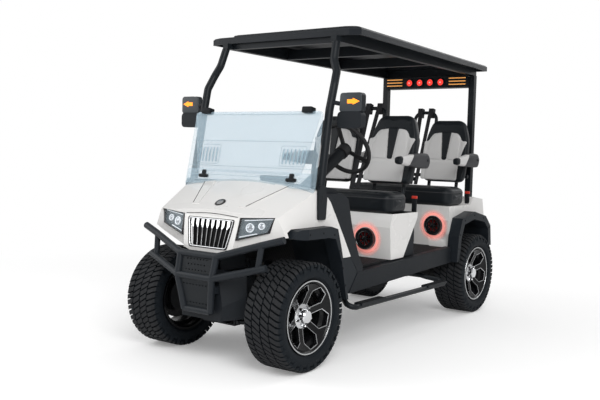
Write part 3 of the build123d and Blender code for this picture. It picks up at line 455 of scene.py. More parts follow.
flarePlastic = surface("flarePlastic", (0.009, 0.012, 0.016), (0.015, 0.019, 0.024), rough=0.45,
                       grain=1200, bump=0.22, bumpDistance=0.0005, dust=0.015, dustTop=0.6)
roofPlastic = surface("roofPlastic", (0.009, 0.011, 0.014), (0.015, 0.018, 0.022), rough=0.42,
                      grain=900, bump=0.2, bumpDistance=0.0006)
softPlastic = surface("softPlastic", (0.005, 0.006, 0.008), (0.009, 0.011, 0.013), rough=0.6,
                      grain=1600, bump=0.2)
glossBlack = surface("glossBlack", (0.008, 0.008, 0.009), (0.014, 0.014, 0.016), rough=0.16,
                     roughVary=0.05, coat=0.5, grain=300, bump=0.02)
matRubber = surface("matRubber", (0.009, 0.010, 0.012), (0.016, 0.017, 0.019), rough=0.75, grain=1000,
                    bump=0.6, bumpDistance=0.0015, dust=0.015, dustTop=0.9,
                    pattern=ribPattern("Y", 55, 0.8))
batteryCase = surface("batteryCase", (0.03, 0.032, 0.036), (0.05, 0.052, 0.056), rough=0.55, grain=700,
                      bump=0.2)
brightChrome = surface("brightChrome", (0.82, 0.83, 0.84), (0.74, 0.75, 0.77), rough=0.09,
                       roughVary=0.04, metallic=1.0, grain=300, bump=0.015, mottle=20)
darkChrome = surface("darkChrome", (0.055, 0.057, 0.060), (0.04, 0.042, 0.045), rough=0.2, metallic=0.8,
                     grain=300, bump=0.02)
brushedSteel = surface("brushedSteel", (0.46, 0.46, 0.47), (0.36, 0.36, 0.37), rough=0.34, metallic=1.0,
                       grain=800, bump=0.15)
screenGlass = clearGlass("screenGlass", (0.52, 0.68, 0.78), alpha=0.24)
blackVinyl = surface("blackVinyl", (0.0055, 0.0075, 0.010), (0.010, 0.013, 0.016), rough=0.42,
                     roughVary=0.07, grain=420, bump=0.4, bumpDistance=0.0008, mottle=6, sheen=0.05)
tyreRubber = surface("tyreRubber", (0.004, 0.007, 0.010), (0.008, 0.011, 0.015), rough=0.62,
                     specular=0.16, grain=600, bump=0.35, bumpDistance=0.001, mottle=14, dust=0.015,
                     dustTop=0.7)
treadRubber = surface("treadRubber", (0.013, 0.014, 0.016), (0.026, 0.027, 0.029), rough=0.75,
                      grain=600, bump=0.4, bumpDistance=0.001, mottle=30)
blackAlloy = surface("blackAlloy", (0.004, 0.0042, 0.005), (0.007, 0.0075, 0.0085), rough=0.26,
                     coat=0.08, grain=500, bump=0.03, dust=0.01)
gripRubber = surface("gripRubber", (0.014, 0.014, 0.015), (0.022, 0.022, 0.023), rough=0.55, grain=1500,
                     bump=0.35)
redLens = glowing("redLens", (0.55, 0.015, 0.012), 0.25)
machinedSilver = surface("machinedSilver", (0.62, 0.63, 0.64), (0.52, 0.53, 0.54), rough=0.24,
                         roughVary=0.06, metallic=1.0, grain=1600, bump=0.05, mottle=30)
lightVinyl = surface("lightVinyl", (0.60, 0.595, 0.59), (0.54, 0.535, 0.53), rough=0.5, roughVary=0.06,
                     grain=480, bump=0.35, bumpDistance=0.0007, mottle=8, sheen=0.05)
greyVinyl = surface("greyVinyl", (0.040, 0.041, 0.044), (0.055, 0.056, 0.06), rough=0.55, grain=480,
                    bump=0.4, bumpDistance=0.0008, mottle=8)
beltWeb = surface("beltWeb", (0.016, 0.016, 0.018), (0.03, 0.03, 0.033), rough=0.7, grain=700, bump=0.5,
                  bumpDistance=0.0006, pattern=ribPattern("Y", 240, 0.5))
reflector = surface("reflector", (0.55, 0.57, 0.60), (0.40, 0.42, 0.45), rough=0.12, metallic=1.0,
                    grain=200, bump=0.02, mottle=30)
lampGrey = surface("lampGrey", (0.055, 0.072, 0.084), (0.11, 0.135, 0.152), rough=0.25, metallic=0.2,
                   grain=300, bump=0.05, mottle=18)
lampClear = clearGlass("lampClear", (0.70, 0.80, 0.86), alpha=0.07, streak=0.05)
amberGlow = glowing("amberGlow", (1.0, 0.28, 0.02), 1.2)
redGlow = glowing("redGlow", (0.9, 0.05, 0.035), 1.1)
whiteRing = glowing("whiteRing", (0.80, 0.84, 0.88), 0.35)
slotDark = surface("slotDark", (0.006, 0.006, 0.007), (0.012, 0.012, 0.013), rough=0.6, grain=500,
                   bump=0.1)
latchRed = surface("latchRed", (0.62, 0.05, 0.03), (0.5, 0.04, 0.03), rough=0.35, grain=700, bump=0.05)
dashScreen = surface("dashScreen", (0.010, 0.014, 0.022), (0.016, 0.022, 0.034), rough=0.08,
                     roughVary=0.04, coat=0.8, grain=300, bump=0.01)
print("materials ready")

cadFinish = (
    (pearlPaint, "front_cowl front_pod rear_body"),
    (powderBlack, "chassis_frame front_wishbones rear_pillars screen_struts roof_frame seat_frames "
                  "running_boards guard_panels"),
    (powderGraphite, "brush_guard"),
    (castIron, "knuckle_left knuckle_right rear_axle"),
    (springSteel, "rear_springs front_dampers tie_rod"),
    (batteryCase, "battery_pack"),
    (softPlastic, "screen_clips steering_column"),
    (grainPlastic, "sills cowl_trims front_shroud dash kick_panel mirrors sound_bar rear_bumper"),
    (flarePlastic, "front_flares rear_flares"),
    (beltWeb, "seat_belts"),
    (matRubber, "floor_pan"),
    (roofPlastic, "roof"),
    (darkChrome, "grille"),
    (glossBlack, "headlamps speakers"),
    (screenGlass, "screen_lower screen_upper"),
    (blackVinyl, "front_cushion rear_cushion front_seat_backs rear_seat_backs armrest_front_left "
                 "armrest_front_right armrest_rear_left armrest_rear_right"),
    (tyreRubber, "tyre_front_left tyre_front_right tyre_rear_left tyre_rear_right"),
    (blackAlloy, "rim_front_left rim_front_right rim_rear_left rim_rear_right"),
    (gripRubber, "steering_wheel"),
    (redLens, "tail_lamps"),
)
for cadMaterial, cadNames in cadFinish:
    for cadName in cadNames.split():
        cadMesh = nodes[cadName].data
        cadMesh.materials.clear()
        cadMesh.materials.append(cadMaterial)


# Studio

studio = {"floorSize": 60.0, "floorColour": (0.93, 0.93, 0.93), "keyPower": 260.0, "fillPower": 90.0,
          "backPower": 80.0, "skyLevel": 0.5, "floorLift": 0.2, "fadeStart": 1.7, "fadeEnd": 4.5}


def whiteSeenMaterial(name, colour):
    # the floor keeps the shadow, and is lifted to white for the camera and through glass
    material = bpy.data.materials.new(name)
    material.use_nodes = True
    tree = material.node_tree
    shader = tree.nodes["Principled BSDF"]
    shader.inputs["Base Color"].default_value = (*colour, 1)
    shader.inputs["Roughness"].default_value = 0.9
    shader.inputs["Specular IOR Level"].default_value = 0.1
    shader.inputs["Emission Color"].default_value = (1, 1, 1, 1)
    ray = tree.nodes.new("ShaderNodeLightPath")
    seen = mathNode(tree, "MAXIMUM", ray.outputs["Is Camera Ray"], ray.outputs["Is Transmission Ray"])
    link(tree, mathNode(tree, "MULTIPLY", seen, studio["floorLift"]),
         shader.inputs["Emission Strength"])
    # far from the cart the floor is plain white where it is seen, so it meets the background
    place = tree.nodes.new("ShaderNodeTexCoord").outputs["Object"]
    away = tree.nodes.new("ShaderNodeVectorMath")
    away.operation = "LENGTH"
    link(tree, place, away.inputs[0])
    fade = tree.nodes.new("ShaderNodeMapRange")
    fade.interpolation_type = "SMOOTHSTEP"
    fade.inputs["From Min"].default_value = studio["fadeStart"]
    fade.inputs["From Max"].default_value = studio["fadeEnd"]
    link(tree, away.outputs["Value"], fade.inputs["Value"])
    plainWhite = tree.nodes.new("ShaderNodeEmission")
    blend = tree.nodes.new("ShaderNodeMixShader")
    link(tree, mathNode(tree, "MULTIPLY", seen, fade.outputs["Result"]), blend.inputs[0])
    link(tree, shader.outputs[0], blend.inputs[1])
    link(tree, plainWhite.outputs[0], blend.inputs[2])
    link(tree, blend.outputs[0], tree.nodes["Material Output"].inputs["Surface"])
    return material


def buildStudio():
    deselectAll()
    bpy.ops.mesh.primitive_plane_add(size=studio["floorSize"], location=(0, 0, 0))
    floor = bpy.context.object
    floor.name = "studioFloor"
    floor.data.materials.append(whiteSeenMaterial("paleFloor", studio["floorColour"]))
    world = bpy.data.worlds.new("studioSky")
    bpy.context.scene.world = world
    world.use_nodes = True
    tree = world.node_tree
    back = tree.nodes["Background"]
    seen = tree.nodes.new("ShaderNodeLightPath")
    anySeen = mathNode(tree, "MAXIMUM", seen.outputs["Is Camera Ray"],
                       seen.outputs["Is Transmission Ray"])
    level = tree.nodes.new("ShaderNodeMapRange")
    level.inputs["To Min"].default_value = studio["skyLevel"]
    level.inputs["To Max"].default_value = 1.0
    link(tree, anySeen, level.inputs["Value"])
    link(tree, level.outputs["Result"], back.inputs["Strength"])
    back.inputs["Color"].default_value = (1, 1, 1, 1)
    lamps = [("keyLamp", (4.5, 4.5, 4.5), studio["keyPower"], 3.5),
             ("fillLamp", (3.5, -4.0, 3.0), studio["fillPower"], 4.0),
             ("backLamp", (-5.0, 1.0, 4.0), studio["backPower"], 4.0)]
    for name, place, power, size in lamps:
        deselectAll()
        bpy.ops.object.light_add(type="AREA", location=place)
        lamp = bpy.context.object
        lamp.name = name
        lamp.data.energy = power
        lamp.data.size = size
        aim = Vector((0, 0, 0.7)) - Vector(place)
        lamp.rotation_euler = aim.to_track_quat("-Z", "Y").to_euler()


cameraSet = {"place": (4.24818, 2.90312, 1.15431), "yaw": 3.74054013, "pitch": -0.059613,
             "roll": 0.0295622, "lens": 45.744, "shiftX": -0.0669}


def placeCamera():
    yaw, pitch, roll = cameraSet["yaw"], cameraSet["pitch"], cameraSet["roll"]
    ahead = Vector((math.cos(yaw) * math.cos(pitch), math.sin(yaw) * math.cos(pitch), math.sin(pitch)))
    right = ahead.cross(Vector((0, 0, 1))).normalized()
    up = right.cross(ahead)
    tiltRight = math.cos(roll) * right + math.sin(roll) * up
    tiltUp = -math.sin(roll) * right + math.cos(roll) * up
    turn = Matrix((tiltRight, tiltUp, -ahead)).transposed()
    deselectAll()
    bpy.ops.object.camera_add(location=cameraSet["place"], rotation=turn.to_euler())
    camera = bpy.context.object
    camera.name = "photoCamera"
    camera.data.sensor_width = 36
    camera.data.lens = cameraSet["lens"]
    camera.data.shift_x = cameraSet["shiftX"]
    camera.data.dof.use_dof = False
    bpy.context.scene.camera = camera


buildStudio()
placeCamera()
bpy.context.scene.view_settings.view_transform = "Standard"
print("studio and camera ready")


# Cutting, placing and finding points on the CAD

def drop(piece):
    bpy.data.objects.remove(piece, do_unlink=True)


def surfaceHit(nodeName, start, ahead):
    # the point where a line meets a CAD node, with the face's direction there
    found, place, normal, _ = nodes[nodeName].ray_cast(Vector(start), Vector(ahead).normalized())
    if not found:
        raise RuntimeError("nothing hit on " + nodeName + " from " + str(tuple(start)))
    return place, normal


def cutAway(piece, place, normal, name):
    # what lies ahead of the plane is cut off, and the cut is closed
    editAll(piece)
    bpy.ops.mesh.bisect(plane_co=place, plane_no=normal, use_fill=True, clear_outer=True)
    bpy.ops.object.mode_set(mode="OBJECT")
    piece.name = name
    piece.data.name = name
    return piece


def takeOut(piece, cutter):
    # a cutter's shape is taken out of a piece
    modify(piece, "cutOut", "BOOLEAN", operation="DIFFERENCE", object=cutter, solver="EXACT")
    drop(cutter)
    return piece


def placedCopy(piece, name, matrix):
    twin = copyOf(piece, name)
    twin.matrix_world = matrix
    settle(twin, name)
    if matrix.determinant() < 0:
        editAll(twin)
        endEdit()
    return twin


def roundOutline(points, radius, segments=4):
    # the corners of an outline, each cut back and rounded
    rounded = []
    count = len(points)
    for index in range(count):
        corner = Vector(points[index])
        before = Vector(points[index - 1]) - corner
        after = Vector(points[(index + 1) % count]) - corner
        reach = min(radius, before.length * 0.45, after.length * 0.45)
        start = corner + before.normalized() * reach
        end = corner + after.normalized() * reach
        for step in range(segments + 1):
            t = step / segments
            rounded.append(tuple((1 - t) ** 2 * start + 2 * t * (1 - t) * corner + t ** 2 * end))
    return rounded


# Tyres and rims

wheelSet = {"radius": 0.2916, "groove": 0.2795, "half": 0.1145, "pitches": 54, "lugLength": 0.0262,
            "nuts": 5, "windows": 6, "windowTurn": 0.28, "window": ((0.068, 0.016), (0.130, 0.052),
                                                                    (0.1725, 0.030)),
            "windowMiddle": 0.118, "edge": 1.075, "hub": 0.447, "axleX": 1.045, "axleZ": 0.292}
axle = facing((0, 0, 0), (0, 1, 0))


def makeTyre():
    half = wheelSet["half"]
    groove = wheelSet["groove"]
    outer = [(0.1795, 0.062), (0.1795, 0.083), (0.2035, 0.093), (0.2075, 0.101), (0.212, 0.1035),
             (0.2135, 0.1085), (0.222, half - 0.003), (0.238, half), (0.256, half - 0.003),
             (0.268, half - 0.010), (groove - 0.003, 0.090), (groove, 0.060)]
    profile = [(0, side * y, r) for side, line in ((1, outer), (-1, outer[::-1])) for r, y in line]
    profile += [(0, -0.060, 0.192), (0, -0.098, 0.232), (0, -0.080, 0.262), (0, 0.080, 0.262),
                (0, 0.098, 0.232), (0, 0.060, 0.192)]
    carcass = spunRing("tyreCarcass", profile)
    blocks = []
    top = wheelSet["radius"]
    long = wheelSet["lugLength"]
    for side in (1, -1):
        for short in (0, 1):
            reach = 0.024 if short else 0.046
            outline = [(side * 0.058, groove - 0.006), (side * 0.058, top),
                       (side * (half - 0.016), top), (side * (half - 0.001), top - 0.012),
                       (side * (half + 0.0003), top - reach), (side * (half - 0.012), top - reach)]
            inner = [(side * 0.0035, groove - 0.006), (side * 0.0035, top), (side * 0.052, top),
                     (side * 0.052, groove - 0.006)]
            # name, outline, length, slant, where the slant is zero, shift along the tread
            lugs = (("shoulderLug", outline, 1.0 - 0.1 * short, 0.42, 0.086, 0.0),
                    ("centreLug", inner, 0.92 + 0.12 * short, 0.62, 0.028, 0.4))
            for name, line, grow, slant, middle, shift in lugs:
                size = long * grow
                lug = outlinePlate("lug", [(-size / 2, y, z) for y, z in line], (size, 0, 0), 0.0013, 1)
                for vertex in lug.data.vertices:
                    vertex.co.x += side * slant * (abs(vertex.co.y) - middle)
                phase = (short + shift + (0 if side > 0 else 0.5)) * 2 * math.pi / wheelSet["pitches"]
                blocks.append(placedCopy(lug, name, Matrix.Rotation(phase, 4, "Y")))
                drop(lug)
    tread = joined("tyreTread", blocks)
    editAll(tread)
    rounds = wheelSet["pitches"] // 2
    bpy.ops.mesh.spin(steps=rounds - 1, angle=2 * math.pi * (rounds - 1) / rounds, center=(0, 0, 0),
                      axis=(0, 1, 0), dupli=True)
    endEdit()
    return joined("tyreModel", [carcass, tread])


def windowPrism(scale, low, high):
    # one long six-sided window, pointing out from the hub
    (x0, y0), (x1, y1), (x2, y2) = wheelSet["window"]
    corners = [(x0, -y0), (x0, y0), (x1, y1), (x2, y2), (x2, -y2), (x1, -y1)]
    middle = wheelSet["windowMiddle"]
    outline = [(scale * y, low, middle + scale * (x - middle)) for x, y in corners]
    return outlinePlate("windowPrism", outline, (0, high - low, 0))


def makeRim():
    barrelLine = [(0.199, 0.101), (0.199, 0.095), (0.184, 0.093), (0.178, 0.088), (0.178, 0.060),
                  (0.165, 0.045)]
    innerLine = [(0.159, 0.047), (0.1745, 0.062), (0.1767, 0.090), (0.187, 0.101)]
    profile = [(0, y, r) for r, y in barrelLine] + [(0, -y, r) for r, y in barrelLine[::-1]]
    profile += [(0, -y, r) for r, y in innerLine[::-1]] + [(0, y, r) for r, y in innerLine]
    barrel = spunRing("rimBarrel", profile)
    faceLine = [(0.1775, 0.0925), (0.177, 0.0945), (0.130, 0.070), (0.062, 0.047), (0.046, 0.046),
                (0.046, 0.030), (0.062, 0.030), (0.130, 0.052), (0.177, 0.078), (0.1775, 0.079)]
    disc = spunRing("rimDisc", [(0, y, r) for r, y in faceLine])
    cutters = []
    edges = []
    for index in range(wheelSet["windows"]):
        turn = Matrix.Rotation(2 * math.pi * (index + wheelSet["windowTurn"]) / wheelSet["windows"], 4,
                               "Y")
        prism = windowPrism(1.0, 0.02, 0.13)
        prism.matrix_world = turn
        cutters.append(settle(prism, "windowCut"))
        # the machined edge is the disc's own front, cut to a frame round the window
        frame = spunRing("edgeRing", [(0, y + 0.0009, r) for r, y in faceLine[1:4]] +
                         [(0, y - 0.004, r) for r, y in faceLine[3:0:-1]])
        outer = windowPrism(wheelSet["edge"], 0.02, 0.13)
        outer.matrix_world = turn
        settle(outer, "frameOuter")
        modify(frame, "keepFrame", "BOOLEAN", operation="INTERSECT", object=outer, solver="EXACT")
        drop(outer)
        hole = windowPrism(1.0, 0.015, 0.135)
        hole.matrix_world = turn
        edges.append(takeOut(frame, settle(hole, "frameHole")))
    takeOut(disc, joined("windowCuts", cutters))
    hub = roundTurned("rimHub", [(-0.045, 0), (-0.045, 0.048), (0.044, 0.048), (0.046, 0.046),
                                 (0.046, 0)], axle, 48)
    drum = roundTurned("brakeDrum", [(-0.043, 0), (-0.043, 0.090), (-0.040, 0.092), (-0.010, 0.092),
                                     (-0.008, 0.09), (-0.008, 0)], axle, 48)
    backing = roundTurned("brakeDisc", [(-0.014, 0), (-0.014, 0.133), (-0.012, 0.135), (-0.009, 0.135),
                                        (-0.008, 0.133), (-0.008, 0)], axle, 64)
    alloy = joined("rimModel", [barrel, disc, hub, drum, backing])
    editAll(alloy)
    endEdit()
    lip = spunRing("rimLip", [(0, 0.1003, 0.1975), (0, 0.1022, 0.1965), (0, 0.1022, 0.1905),
                              (0, 0.0985, 0.1885)])
    silver = joined("rimEdges", edges + [lip])
    cap = roundTurned("hubCap", [(0.048, 0), (0.048, 0.0385), (0.080, 0.0375), (0.086, 0.032),
                                 (0.0875, 0.014), (0.088, 0)], axle, 48)
    flange = roundTurned("hubFlange", [(0.044, 0), (0.044, 0.066), (0.0505, 0.0655), (0.0525, 0.062),
                                       (0.0525, 0)], axle, 48)
    nuts = [cap, flange]
    for index in range(wheelSet["nuts"]):
        turn = Matrix.Rotation(2 * math.pi * (index + 0.5) / wheelSet["nuts"], 4, "Y")
        nut = roundTurned("lugNut", [(0.050, 0), (0.050, 0.0085), (0.070, 0.0075), (0.074, 0.004),
                                     (0.0745, 0)], turn @ facing((0, 0, 0.0515), (0, 1, 0)), 6)
        nuts.append(nut)
    chrome = joined("hubChrome", nuts)
    editAll(chrome)
    endEdit()
    return alloy, silver, chrome


def placeWheels():
    tyre = makeTyre()
    alloy, silver, chrome = makeRim()
    axleZ = wheelSet["axleZ"]
    for end, x in (("front", wheelSet["axleX"]), ("rear", -wheelSet["axleX"])):
        for side, sign in sides:
            spot = end + side
            nodeEnd = end + "_" + side.lower()
            body = "wheel_" + nodeEnd
            spotAt = Matrix.Translation((x, sign * wheelSet["hub"], axleZ))
            place = spotAt @ Matrix.Diagonal((1, sign, 1, 1))
            newTyre = finish(placedCopy(tyre, "tyre" + spot, place), tyreRubber, body)
            newTyre.data.materials.append(treadRubber)
            for face in newTyre.data.polygons:
                if math.hypot(face.center.x - x, face.center.z - axleZ) > wheelSet["groove"] + 0.006:
                    face.material_index = 1
            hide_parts("tyre_" + nodeEnd)
            newRim = finish(placedCopy(alloy, "rim" + spot, place), blackAlloy, body)
            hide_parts("rim_" + nodeEnd)
            finish(placedCopy(silver, "rimEdges" + spot, place), machinedSilver, body)
            finish(placedCopy(chrome, "hubCap" + spot, place), brightChrome, body)
    for piece in (tyre, alloy, silver, chrome):
        drop(piece)


placeWheels()
print("wheels ready")


# Seats

seatSet = {"pressure": 4.0, "frames": 20, "cap": 0.009, "margin": 0.005, "dent": 0.002}


def inflate(piece, cap, voxel, finer=True, keep=0.5):
    # the filling: an even skin is swelled under pressure, by no more than the cap, then thinned
    onlySelect(piece)
    modify(piece, "evenSkin", "REMESH", mode="VOXEL", voxel_size=voxel)
    start = [(vertex.co.copy(), vertex.normal.copy()) for vertex in piece.data.vertices]
    cloth = piece.modifiers.new("filling", "CLOTH")
    cloth.settings.use_pressure = True
    cloth.settings.uniform_pressure_force = seatSet["pressure"]
    cloth.settings.effector_weights.gravity = 0
    cloth.point_cache.frame_start = 1
    cloth.point_cache.frame_end = seatSet["frames"]
    for step in range(1, seatSet["frames"] + 1):
        bpy.context.scene.frame_set(step)
    onlySelect(piece)
    bpy.ops.object.modifier_apply(modifier=cloth.name)
    bpy.context.scene.frame_set(1)
    for vertex, (old, out) in zip(piece.data.vertices, start):
        shift = vertex.co - old
        inward = -shift.dot(out)
        if inward > seatSet["dent"]:
            shift += out * (inward - seatSet["dent"])
        if shift.length > cap:
            shift = shift.normalized() * cap
        vertex.co = old + shift
    if finer:
        modify(piece, "oneMore", "SUBSURF", levels=1, render_levels=1)
    modify(piece, "thinOut", "DECIMATE", ratio=keep)
    onlySelect(piece)
    bpy.ops.object.shade_smooth()
    return piece


def makeCushion(name, nodeName, body, front, rear, low, high):
    # a bench cushion with a corded seam round its top, lying flat on its base
    margin = seatSet["margin"]
    half = 0.456 - margin
    x0, x1 = rear + margin, front - margin
    plan = roundOutline([(x0, -half), (x1, -half), (x1, half), (x0, half)], 0.075, 6)
    pad = outlinePlate(name, [(x, y, low + 0.001) for x, y in plan], (0, 0, high - margin - low), 0.034,
                       5)
    inflate(pad, seatSet["cap"], 0.006)
    for vertex in pad.data.vertices:
        vertex.co.z = max(vertex.co.z, low + 0.0008)
    pad.data.update()
    finish(pad, blackVinyl, body)
    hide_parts(nodeName)
    corner = 0.072
    x0, x1, y = rear + 0.010, front - 0.006, half + 0.004
    line = []
    for cx, cy, turn in ((x1 - corner, y - corner, 0), (x0 + corner, y - corner, 90),
                         (x0 + corner, -y + corner, 180), (x1 - corner, -y + corner, 270)):
        for step in range(5):
            angle = math.radians(turn + step * 22.5)
            start = Vector((cx + corner * math.cos(angle), cy + corner * math.sin(angle), high - 0.036))
            near, normal = pad.closest_point_on_mesh(start)[1:3]
            line.append(tuple(near + normal * 0.0004))
    seam = tubeRun(name + "Seam", line, 0.0032, 8, closed=True)
    finish(seam, greyVinyl, body)
    return pad


makeCushion("cushionFront", "front_cushion", "front_cushion", 0.106, -0.158, 0.7853, 0.918)
makeCushion("cushionRear", "rear_cushion", "cart", -0.733, -1.026, 0.8033, 0.934)
print("cushions ready")

backSet = {"half": 0.190, "middle": 0.240, "lowZ": 0.968, "highZ": 1.435, "thick": 0.085,
           "rows": {"Front": (-0.190, -0.300, 0.085), "Rear": (-1.020, -1.100, 0.068)}}
backPanels = {"Lower": [(-0.150, 0.014), (0.122, 0.014), (0.126, 0.165), (-0.146, 0.165)],
              "InsertIn": [(-0.145, 0.171), (-0.026, 0.171), (-0.046, 0.372), (-0.070, 0.384),
                           (-0.108, 0.372), (-0.130, 0.336), (-0.143, 0.270)],
              "InsertOut": [(0.026, 0.171), (0.118, 0.171), (0.124, 0.280), (0.116, 0.345),
                            (0.098, 0.376), (0.070, 0.384), (0.046, 0.372)],
              "Base": [(-0.184, 0.018), (0.120, 0.012), (0.126, 0.190), (0.176, 0.318), (0.134, 0.322),
                       (0.122, 0.352), (0.098, 0.380), (0.050, 0.388), (-0.050, 0.388), (-0.110, 0.380),
                       (-0.134, 0.350), (-0.150, 0.320), (-0.184, 0.320), (-0.188, 0.210)],
              "Strip": [(-0.021, 0.170), (0.021, 0.170), (0.042, 0.396), (-0.042, 0.396)],
              "WingIn": [(-0.187, 0.020), (-0.156, 0.016), (-0.152, 0.290), (-0.150, 0.318),
                         (-0.182, 0.316), (-0.188, 0.210)],
              "WingOut": [(0.130, 0.180), (0.136, 0.300), (0.128, 0.316), (0.178, 0.320),
                          (0.158, 0.262)], }


def backMatrix(lowX, highX):
    # across, up the lean, and out of the front face
    along = Vector((highX - lowX, 0, backSet["highZ"] - backSet["lowZ"])).normalized()
    ahead = Vector((along.z, 0, -along.x))
    turn = Matrix(((0, 1, 0), along, ahead)).transposed().to_4x4()
    return Matrix.Translation((lowX, 0, backSet["lowZ"])) @ turn


def makeSeatBacks():
    half, thick, margin = backSet["half"], backSet["thick"], seatSet["margin"]
    outline = [(-half + 0.014, 0), (half - 0.014, 0), (half, 0.210), (half - 0.004, 0.345),
               (half - 0.056, 0.490), (-half + 0.056, 0.490), (-half + 0.004, 0.345), (-half, 0.210)]
    middle = Vector((0, 0.235))
    drawn = []
    for point in roundOutline(outline, 0.055, 6):
        out = Vector(point) - middle
        drawn.append(middle + out * (1 - margin / out.length))
    body = outlinePlate("backModel", [(p.x, p.y, -thick + margin) for p in drawn],
                        (0, 0, thick - 2 * margin), 0.024, 4)
    inflate(body, seatSet["cap"], 0.006, keep=0.4)
    for vertex in body.data.vertices:
        vertex.co.z = min(vertex.co.z, -0.0058 + max(0.0, vertex.co.y - 0.392) * 0.14)
    panels = {}
    for name, points in backPanels.items():
        line = roundOutline(points, 0.016, 3)
        front = {"Base": -0.0035, "Strip": 0.0035}.get(name, 0.0015)
        panel = outlinePlate("panelModel", [(x, y, -0.014) for x, y in line], (0, 0, 0.014 + front),
                             0.004, 3)
        inflate(panel, 0.0022, 0.004, finer=False)
        panels[name] = panel
    for row, (lowX, highX, rowThick) in backSet["rows"].items():
        frameTurn = backMatrix(lowX, highX)
        for side, sign in sides:
            place = frameTurn @ Matrix.Translation((sign * backSet["middle"], 0,
                                                    0)) @ Matrix.Diagonal((sign, 1, 1, 1))
            squeeze = place @ Matrix.Diagonal((1, 1, rowThick / thick, 1))
            pad = finish(placedCopy(body, "seatBack" + row + side, squeeze), blackVinyl)
            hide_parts(row.lower() + "_seat_backs")
            for name, panel in panels.items():
                twin = placedCopy(panel, "seatPanel" + name + row + side, place)
                finish(twin, blackVinyl if name == "Strip" else lightVinyl)
            shell = [(-half + 0.030, 0.020), (half - 0.030, 0.020), (half - 0.018, 0.330),
                     (half - 0.080, 0.440), (-half + 0.080, 0.440), (-half + 0.018, 0.330)]
            line = [(x, y, -rowThick - 0.0035) for x, y in roundOutline(shell, 0.03, 3)]
            cover = outlinePlate("backCover", line, (0, 0, 0.012), 0.003, 2)
            cover.matrix_world = place
            settle(cover, "seatShell" + row + side)
            editAll(cover)
            endEdit()
            finish(cover, softPlastic)
    drop(body)
    for panel in panels.values():
        drop(panel)


makeSeatBacks()
print("seat backs ready")

armrestSet = {"mid": 1.128, "side": 0.459, "half": 0.0225, "front": (0.040, -0.3292, 1.1304),
              "rear": (-0.800, -1.1322, 1.1415)}


def makeArmrests(row):
    tip, px, pz = armrestSet[row]
    z, half = armrestSet["mid"], armrestSet["half"]
    outline = [(tip, z - 0.022), (tip, z + 0.020), (tip - 0.040, z + 0.028), (px + 0.090, pz + 0.050),
               (px - 0.022, pz + 0.048), (px - 0.054, pz + 0.004), (px - 0.030, pz - 0.056),
               (px + 0.070, pz - 0.056), (tip - 0.110, z - 0.036)]
    line = [(x, -half, height) for x, height in roundOutline(outline, 0.026, 4)]
    whole = inflate(outlinePlate("armrestWhole", line, (0, 2 * half, 0), 0.010, 3), 0.003, 0.004,
                    finer=False)
    tipCut = ((tip - 0.034, 0, z), Vector((1, 0, 0.12)).normalized())
    rearCut = ((tip - 0.150, 0, z), Vector((1, 0, 0.85)).normalized())
    for name, near, far, material in (("Tip", None, tipCut, blackVinyl),
                                      ("Middle", tipCut, rearCut, lightVinyl),
                                      ("Rear", rearCut, None, greyVinyl)):
        part = copyOf(whole, "armrest" + name)
        if near:
            cutAway(part, near[0], near[1], part.name)
        if far:
            cutAway(part, far[0], -far[1], part.name)
        editAll(part)
        endEdit()
        for side, sign in sides:
            body = "armrest_" + row + "_" + side.lower()
            place = Matrix.Translation((0, sign * armrestSet["side"], 0))
            piece = placedCopy(part, "armrest" + name + row.capitalize() + side, place)
            finish(piece, material, body)
            if name == "Tip":
                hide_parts(body)
        drop(part)
    drop(whole)


makeArmrests("front")
makeArmrests("rear")
print("armrests ready")

# Nose: lamps, grille backing, badge and seams

lampSet = {"inTop": (1.225, 0.203, 0.807), "outTop": (1.180, 0.421, 0.822),
           "inLow": (1.252, 0.193, 0.682), "outLow": (1.208, 0.393, 0.735),
           "rings": ((0.34, 0.50, 0.024), (0.66, 0.52, 0.019))}


def lampPoint(across, up, lift=0.0):
    # a point on the lamp's face: 0 to 1 from its inner to its outer side, 0 to 1 from low to top
    inTop, outTop = Vector(lampSet["inTop"]), Vector(lampSet["outTop"])
    inLow, outLow = Vector(lampSet["inLow"]), Vector(lampSet["outLow"])
    low = inLow.lerp(outLow, across)
    high = inTop.lerp(outTop, across)
    return low.lerp(high, up) + lampNormal() * lift


def lampNormal():
    inTop, outTop = Vector(lampSet["inTop"]), Vector(lampSet["outTop"])
    normal = (outTop - inTop).cross(Vector(lampSet["inLow"]) - inTop)
    return -normal.normalized() if normal.x < 0 else normal.normalized()


